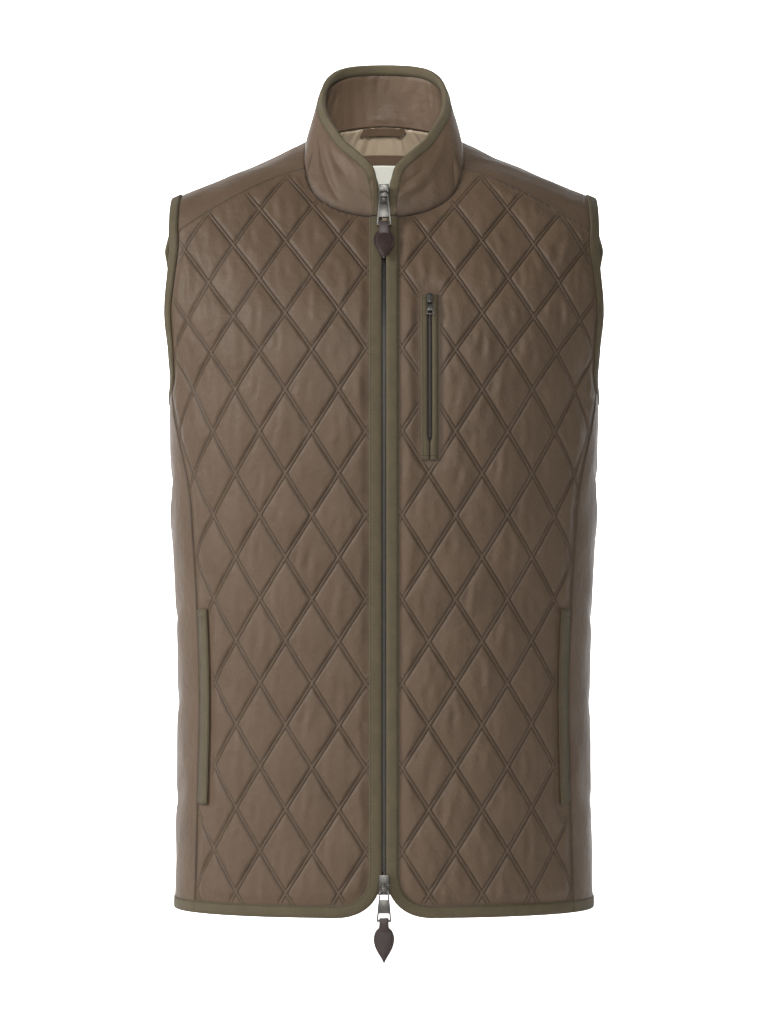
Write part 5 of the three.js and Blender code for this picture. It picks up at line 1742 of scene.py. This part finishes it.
def tab_parts():
    """A pull: eye at the pin, open shackle, solid middle and a window over the leather."""
    thick = 0.9
    parts = [ring(1.75, 0.55)]
    parts.append(block((-2.3, -thick, -5.4), (2.3, thick, -1.3), 0.3, 1.1))
    for side in (-1, 1):
        rail = block((3.0 * side - 0.85, -thick, -TAB_LONG), (3.0 * side + 0.85, thick, -4.4), 0.35)
        for vertex in rail.data.vertices:
            fall = (-vertex.co.z / MM - 4.4) / (TAB_LONG - 4.4)
            vertex.co.x += side * (0.6 + 2.7 * fall) * MM
        parts.append(rail)
    parts.append(block((-4.2, -thick, -6.0), (4.2, thick, -4.2), 0.35))
    parts.append(block((-4.4, -thick, -26.2), (4.4, thick, -13.2), 0.4, 1.28))
    parts.append(block((-6.6, -thick, -TAB_LONG), (6.6, thick, -TAB_LONG + 2.2), 0.4))
    return parts


# Half widths of the leather leaf at distances down from its neck
LEAF_TABLE = {
    "z": [0, 2.5, 7, 12, 18, 24, 29, LEAF_LONG],
    "half": [4.6, 7.4, 9.3, 9.7, 8.4, 5.5, 2.4, 0.5],
}


def leaf_mesh(bend):
    """The pointed leather leaf, crowned, with a groove inside its edge."""
    alone()
    bpy.ops.mesh.primitive_grid_add(x_subdivisions=18, y_subdivisions=34, size=2)
    obj = bpy.context.object
    high = -TAB_LONG - 5.3
    for vertex in obj.data.vertices:
        u = vertex.co.x
        v = (1 - vertex.co.y) / 2
        u = math.copysign(abs(u) ** 0.75, u)
        half = float(table_at(LEAF_TABLE, "half", v * LEAF_LONG))
        rim = min(1 - abs(u), v * 2.2 + 0.3, (1 - v) * 2.6)
        edge = half * (1 - abs(u))
        groove = math.exp(-(((edge - 1.6) / 0.5) ** 2)) * (1 if rim > 0.05 else 0.3)
        crown = 0.9 * (1 - u * u) * math.sin(math.pi * min(1, max(0, v * 0.9 + 0.08))) ** 0.5
        vertex.co = Vector((u * half, -0.4 - crown + 0.35 * groove, high - v * LEAF_LONG)) * MM
    applied(obj, "SOLIDIFY", thickness=2.0 * MM, offset=-1.0)
    applied(obj, "BEVEL", width=0.35 * MM, segments=2, limit_method="ANGLE", angle_limit=1.0)
    pivot = Vector((0, 0, high)) * MM
    turn_it = Matrix.Rotation(-bend, 4, "X")
    obj.data.transform(Matrix.Translation(pivot) @ turn_it @ Matrix.Translation(-pivot))
    return obj


def leather_parts(bend):
    """The leaf with its strap, which loops over the pull's lower bar."""
    top = -TAB_LONG + 3.2
    strap = [
        block((-4.5, -2.5, -TAB_LONG - 8), (4.5, -1.2, top), 0.4),
        block((-4.5, 1.2, -TAB_LONG - 8), (4.5, 2.5, top), 0.4),
        block((-4.5, -2.4, top - 0.9), (4.5, 2.4, top + 0.6), 0.5),
        block((-4.5, -2.2, -TAB_LONG - 9), (4.5, 2.2, -TAB_LONG - 2.5), 0.6, 1.15),
    ]
    return strap + [leaf_mesh(bend)]


# Each front pull: name, height of its pin, angle of the metal, angle of the leather, and how
# far the slider reaches above the pin
PULLS = (
    ("top", -44, 11.5, 33, 6.5),
    ("bottom", -701, 1, 0, 10),
)


class VEST_OT_pulls(bpy.types.Operator):
    """Models the two front sliders with their metal pulls and leather leaves"""

    bl_idname = "vest.pulls"
    bl_label = "Sliders and pulls"

    def execute(self, context):
        top_y = collar_points(0, 0)[0, 1]
        low_y = section_points("front", 0.01, -700.0)[0, 1]
        for (name, pin_z, turned, leaf_turn, drop), y in zip(PULLS, (top_y, low_y)):
            seat = Matrix.Translation(Vector((0, y, pin_z)) * MM)
            slider = slider_parts(drop, 4.2)
            node = f"slider_{name}"
            assembled(f"slider_body_{name}", slider, seat, "metal", "root", node)
            hang = Matrix.Translation(Vector((0, y - PIN_OUT, pin_z)) * MM)
            hang = hang @ Matrix.Rotation(-math.radians(turned), 4, "X")
            body = f"pull_{name}"
            node = f"pull_tab_{name}"
            assembled(f"metal_pull_{name}", tab_parts(), hang, "metal", body, node)
            leather = leather_parts(math.radians(leaf_turn - turned))
            node = f"pull_leather_{name}"
            assembled(f"leather_pull_{name}", leather, hang, "leather", body, node)
        return {"FINISHED"}


def zip_places(high, low, count):
    """Places down the closed zip, on the body and up behind the collar's front."""
    z = np.linspace(high, low, count)
    line = on_face("front", 0.01, np.minimum(z, NECK_FRONT_Z))
    point, inward, normal = stations(BODY["front"], line, 1, np.tile([1.0, 0.0], (count, 1)))
    above = z >= NECK_FRONT_Z
    point[:, 2] = z
    point[above, 1] = collar_points(0, 0)[0, 1]
    point[:, 0] = 0
    normal[above] = (0, -1, 0)
    inward[:] = (1, 0, 0)
    return point, inward, normal


TEETH_OUT = -5.0
TEETH_PITCH = 1.15


def copies(name, source, places, material, body):
    """Lays a copy of a small part at each place and joins them in one mesh."""
    co = np.array([v.co for v in source.data.vertices]) / MM
    polygons = [list(p.vertices) for p in source.data.polygons]
    bpy.data.objects.remove(source)
    points = []
    faces = []
    for k, (centre, side, out, up) in enumerate(places):
        points.append(centre + co[:, :1] * side - co[:, 1:2] * out + co[:, 2:] * up)
        faces += [[i + k * len(co) for i in polygon] for polygon in polygons]
    obj = made(name, np.vstack(points), faces, [material])
    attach(obj, body)
    return obj


class VEST_OT_front_zip(bpy.types.Operator):
    """Models the closed teeth and the tapes of the front zip"""

    bl_idname = "vest.front_zip"
    bl_label = "Front zip"

    def execute(self, context):
        count = int((ZIP_TOP_Z - ZIP_BOTTOM_Z) / TEETH_PITCH)
        point, _, normal = zip_places(ZIP_TOP_Z, ZIP_BOTTOM_Z, count)
        places = []
        for k in range(count):
            side = 1 if k % 2 else -1
            up = np.cross(normal[k], (1, 0, 0))
            places.append((point[k] + normal[k] * TEETH_OUT, np.array([side, 0, 0.0]), normal[k], up))
        tooth = block((-0.9, -1.1, -0.45), (2.3, 1.0, 0.45), 0.2)
        obj = copies("zip_chain", tooth, places, finish_of("metal"), "root")
        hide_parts("zip_teeth")
        for name, sign in SIDES:
            tape = zip_places(NECK_FRONT_Z - 2, ZIP_BOTTOM_Z - 14, 200)
            section = slat(sign * 0.3, sign * ZIP_TAPE, -7.4, -6.5, 0.2)
            strip(
                f"woven_tape_{name}",
                f"zip_tape_{name}",
                tape,
                section,
                "tape",
                "zip_tape",
                (0.0125, 0.64),
                [f"front_{name}"],
                "stretched",
            )
        return {"FINISHED"}


def bar_tack(places, end, across, out):
    """Stitches in a row across a strip at one of its places."""
    point, inward, normal = places
    centre = point[end] + inward[end] * across[:, None] + normal[end] * out
    count = len(across)
    return centre, np.repeat(inward[end][None], count, 0), np.repeat(normal[end][None], count, 0)


# Chest pocket: lips over the tape, their seams in from the edge, and the zip's teeth
LIP_FROM_MIDDLE = 0.35
LIP_CLOSES = 0.86
CHEST_SEAM_IN = 1.1
CHEST_SEAM_OUT = 2.15
CHEST_TEETH_PITCH = 1.5


class VEST_OT_chest_pocket(bpy.types.Operator):
    """Models the zipped chest pocket on the wearer's left"""

    bl_idname = "vest.chest_pocket"
    bl_label = "Chest pocket"

    def execute(self, context):
        places = stations(BODY["front"], evened(CHEST_LINE, 2))
        slot_half = CHEST_SLOT / 2
        point, inward, normal = places
        count = len(point)
        share = np.linspace(0, 1, count)
        # The lips close over the zip below its lower end
        close = eased((share - LIP_CLOSES) / 0.04)
        for name, side in (("inner", -1), ("outer", 1)):
            section = fold(side * LIP_FROM_MIDDLE, side * (slot_half + CHEST_LIP), 0.6, 2.0)
            lip = strip(
                f"chest_{name}",
                f"chest_lip_{name}",
                places,
                section,
                "braid",
                "shell",
                (2 * CHEST_LIP * MM + 0.001, 0.157),
                ["front_left"],
            )
            co = np.array([v.co for v in lip.data.vertices]) / MM
            near = np.abs(np.array(section)[:, 0]) < slot_half
            shift = (slot_half - LIP_FROM_MIDDLE) * (1 - close) * side
            rings = co.reshape(count, len(section), 3)
            rings[:, near] += (inward * shift[:, None])[:, None]
            lip.data.vertices.foreach_set("co", (rings * MM).astype(np.float32).ravel())
        strip(
            "chest_tape",
            "chest_zip",
            places,
            slat(-6, 6, 0.3, 0.55, 0.1),
            "tape",
            "zip_tape",
            (0.012, 0.157),
            ["front_left"],
            "stretched",
        )
        seam = slot_half + CHEST_LIP - CHEST_SEAM_IN
        rows = [seam_stitches(places, away, CHEST_SEAM_OUT, 2.6) for away in (-seam, seam)]
        for end in (2, count - 3):
            rows.append(bar_tack(places, end, np.linspace(-seam, seam, 8), CHEST_SEAM_OUT))
        stitched("chest_stitches", rows, finish_of("thread"))
        teeth = []
        run = np.gradient(point, axis=0)
        run = unit(run)
        length = walked(point)
        for k, at in enumerate(np.arange(13, length[-1] * LIP_CLOSES, CHEST_TEETH_PITCH)):
            i = int(np.searchsorted(length, at))
            side = 1 if k % 2 else -1
            seat = point[i] + normal[i] * 1.0 + run[i] * (at - length[i])
            teeth.append((seat, inward[i] * side, normal[i], -run[i]))
        tooth = block((-0.3, -0.5, -0.4), (1.0, 0.5, 0.4), 0.15)
        copies("chest_teeth", tooth, teeth, finish_of("metal"), "root")
        seat_line = on_face("front", chest_across, -150.0)
        seat = stations(BODY["front"], seat_line, 1, np.array([[1.0, 0.0]]))
        seat_point, seat_in, seat_normal = (part[0] for part in seat)
        up = np.cross(seat_normal, seat_in)
        rows = [[seat_in[k], -seat_normal[k], up[k], 0.0] for k in range(3)]
        turned = Matrix(rows + [[0, 0, 0, 1]])
        lifted = Matrix.Translation(Vector(seat_point + seat_normal * 1.2) * MM)
        # The chest zip's slider and pull are like the front's at half the size
        place = lifted @ turned @ Matrix.Scale(0.5, 4)
        slider = slider_parts(12, 0.2)
        assembled("chest_slider_body", slider, place, "metal", "root", "slider_chest")
        hang = place @ Matrix.Translation(Vector((0, -PIN_OUT, 0)) * MM)
        hang = hang @ Matrix.Rotation(-math.radians(3), 4, "X")
        tab = tab_parts()
        assembled("chest_pull", tab, hang, "metal", "pull_chest", "pull_tab_chest")
        return {"FINISHED"}


class VEST_OT_hip_pockets(bpy.types.Operator):
    """Models the braid welt of each hip pocket with its stitched ends"""

    bl_idname = "vest.hip_pockets"
    bl_label = "Hip pockets"

    def execute(self, context):
        for name, sign in SIDES:
            places = stations(BODY["front"], evened(HIP_LINE), sign)
            strip(
                f"welt_{name}",
                f"pocket_welt_{name}",
                places,
                fold(HIP_WIDE, 0, 0.5, 2.3, 0.7),
                "braid",
                "braid",
                (0.029, 0.187),
                [f"front_{name}"],
                wave=0.2,
                seed=6,
            )
            count = len(places[0])
            rows = [seam_stitches(places, HIP_WIDE - 1.2, HIP_SEAM_OUT)]
            for end in (1, 3, count - 4, count - 2):
                across = np.arange(1.5, HIP_WIDE - 1, 2.6)
                rows.append(bar_tack(places, end, across, HIP_SEAM_OUT))
            stitched(f"welt_stitches_{name}", rows, finish_of("thread"))
        return {"FINISHED"}


def inside_piece(name, node, finish, start, down, out, thick, relief, rise=0.0):
    """A thin piece inside the back neck, placed by its shares along and down the yoke."""
    u, v, faces = share_grid(150, 30)
    s = lerp(start, 1 - start, u)
    t = lerp(*down, v) - rise * eased((0.14 - u) / 0.14)
    lift = relief(u, v)
    outer = yoke_surface(s, t, out + lift)[0]
    inner = yoke_surface(s, t, out - thick + lift)[0]
    obj = shell(name, outer, inner, faces, [finish_of(finish)])
    placed(obj, node)
    return obj


# Pleats of the lining: share across, width and lift
LINING_PLEATS = ((0.36, 0.012, 1.4), (0.4, 0.02, -0.9), (0.62, 0.016, 1.2), (0.67, 0.02, -1.0))


def lining_relief(u, v):
    """Pleats let into the lining below the neck seam, deepest at the seam."""
    fall = eased((0.75 - v) / 0.6)
    pleats = 0
    for at, wide, deep in LINING_PLEATS:
        pleats = pleats + deep * np.exp(-(((u - at - 0.03 * v) / wide) ** 2))
    return pleats * fall + 0.35 * ripples(u * 300, v * 100, 26, 61, (1.3, 0.4))


class VEST_OT_neck_inside(bpy.types.Operator):
    """Models the lining, facing band, blank label and hanger loop inside the back neck"""

    bl_idname = "vest.neck_inside"
    bl_label = "Inside the neck"

    def execute(self, context):
        inside_piece(
            "back_lining",
            "lining_back",
            "lining",
            start=0.3,
            down=(0.015, 0.93),
            out=-3.1,
            thick=0.7,
            relief=lining_relief,
        )
        inside_piece(
            "neck_facing_band",
            "facing_band",
            "shell",
            start=0.34,
            down=(0.23, 0.32),
            out=-5.2,
            thick=0.5,
            relief=lambda u, v: 0.15 * ripples(u * 200, v * 10, 20, 62),
        )
        inside_piece(
            "blank_label",
            "label",
            "label",
            start=0.45,
            down=(0.31, 0.66),
            out=-6.4,
            thick=0.5,
            relief=lambda u, v: 0.2 * ripples(u * 50, v * 40, 30, 63),
        )
        inside_piece(
            "hanging_loop",
            "hanger_loop",
            "shell",
            start=0.41,
            down=(0.006, 0.068),
            out=-5.2,
            thick=0.9,
            relief=lambda u, v: -1.4 * np.sin(math.pi * u) ** 0.5,
            rise=0.03,
        )
        return {"FINISHED"}


# Stage
def aimed(scene, data, place, target):
    """Puts a light at a place and points it at its target."""
    light = bpy.data.objects.new(data.name, data)
    light.location = place
    aim = Vector(target) - Vector(place)
    light.rotation_euler = aim.to_track_quat("-Z", "Y").to_euler()
    scene.collection.objects.link(light)


class VEST_OT_stage(bpy.types.Operator):
    """Sets the pale floor, the studio light and the camera"""

    bl_idname = "vest.stage"
    bl_label = "Stage"

    def execute(self, context):
        scene = context.scene
        material, tree, surface = blank_material("Matt studio paper", Roughness=0.9)
        surface.inputs["Base Color"].default_value = scene.vest_colours.floor
        # The paper's faces point away from the vest and are clear on that side, so that the
        # paper never stands before the vest's back
        towards_vest = add_node(tree, "ShaderNodeNewGeometry").outputs["Backfacing"]
        clear = add_node(tree, "ShaderNodeBsdfTransparent").outputs["BSDF"]
        sides = [("Fac", towards_vest), (1, clear), (2, surface.outputs["BSDF"])]
        paper = add_node(tree, "ShaderNodeMixShader", sides).outputs["Shader"]
        tree.links.new(paper, tree.nodes["Material Output"].inputs["Surface"])
        width, depth, low, high, bend = 12.0, 3.2, -0.9, 6.0, 1.2
        profile = [(-1.2, low), (depth - bend, low)]
        for angle in np.linspace(0, math.pi / 2, 12)[1:]:
            y = depth - bend + bend * math.sin(angle)
            profile.append((y, low + bend * (1 - math.cos(angle))))
        profile.append((depth, high))
        points = [(x / MM, y / MM, z / MM) for y, z in profile for x in (-width, width)]
        faces = [(2 * k, 2 * k + 1, 2 * k + 3, 2 * k + 2) for k in range(len(profile) - 1)]
        floor = made("studio_floor", points, faces, [material])
        world = bpy.data.worlds.new("Soft white room")
        world.use_nodes = True
        world.node_tree.nodes["Background"].inputs["Color"].default_value = (1, 1, 1, 1)
        world.node_tree.nodes["Background"].inputs["Strength"].default_value = 0.16
        scene.world = world
        scene.view_settings.view_transform = "Standard"
        middle = (0, 0, -0.35)
        # Each light: name, place, size, power, target and spread in degrees
        lights = (
            ("key", (-3.6, -1.7, 1.3), 1.4, 138, middle, 170),
            ("front", (-0.2, -4.6, 1.2), 1.6, 102, middle, 170),
            ("fill", (3.0, -2.4, 0.2), 2.4, 6, middle, 170),
            ("paper_left", (-2.2, 1.2, 1.2), 2.0, 80, (0.3, 3.2, -0.3), 95),
            ("paper_right", (2.2, 1.2, 1.2), 2.0, 80, (-0.3, 3.2, -0.3), 95),
        )
        for name, place, size, power, target, wide in lights:
            data = bpy.data.lights.new(name, "AREA")
            data.size = size
            data.energy = power
            data.spread = math.radians(wide)
            aimed(scene, data, place, target)
        # A narrow light through the neck opening shows the lining
        data = bpy.data.lights.new("neck", "SPOT")
        data.energy = 40
        data.spot_size = math.radians(10)
        data.spot_blend = 0.6
        data.shadow_soft_size = 0.08
        aimed(scene, data, (0, -0.9, 0.46), (0, 0.075, 0.02))
        lens = bpy.data.cameras.new("front_view")
        lens.sensor_width = 36
        lens.lens = 149.6
        camera = bpy.data.objects.new("front_view", lens)
        camera.location = (0, -4.130, -0.350)
        camera.rotation_euler = (math.pi / 2, 0, 0)
        scene.collection.objects.link(camera)
        scene.camera = camera
        return {"FINISHED"}


OPERATORS = (
    VEST_OT_stage,
    VEST_OT_fronts,
    VEST_OT_back,
    VEST_OT_side_panels,
    VEST_OT_yoke,
    VEST_OT_collar,
    VEST_OT_braid,
    VEST_OT_front_zip,
    VEST_OT_pulls,
    VEST_OT_chest_pocket,
    VEST_OT_hip_pockets,
    VEST_OT_neck_inside,
)


class VEST_PT_panel(bpy.types.Panel):
    """Lists the vest's pieces"""

    bl_idname = "VEST_PT_panel"
    bl_label = "Vest"
    bl_space_type = "VIEW_3D"
    bl_region_type = "UI"
    bl_category = "Vest"

    def draw(self, context):
        for group in (context.scene.vest_sizes, context.scene.vest_colours):
            column = self.layout.column()
            for name in group.bl_rna.properties.keys():
                if name not in ("rna_type", "name"):
                    column.prop(group, name)
        for operator in OPERATORS:
            self.layout.operator(operator.bl_idname)


CLASSES = (VestSizes, VestColours, *OPERATORS, VEST_PT_panel)


def register():
    for item in CLASSES:
        bpy.utils.register_class(item)
    bpy.types.Scene.vest_sizes = bpy.props.PointerProperty(type=VestSizes)
    bpy.types.Scene.vest_colours = bpy.props.PointerProperty(type=VestColours)


def unregister():
    del bpy.types.Scene.vest_colours
    del bpy.types.Scene.vest_sizes
    for item in reversed(CLASSES):
        bpy.utils.unregister_class(item)


def main():
    register()
    for operator in OPERATORS:
        group, name = operator.bl_idname.split(".")
        getattr(getattr(bpy.ops, group), name)()


if __name__ == "__main__":
    main()
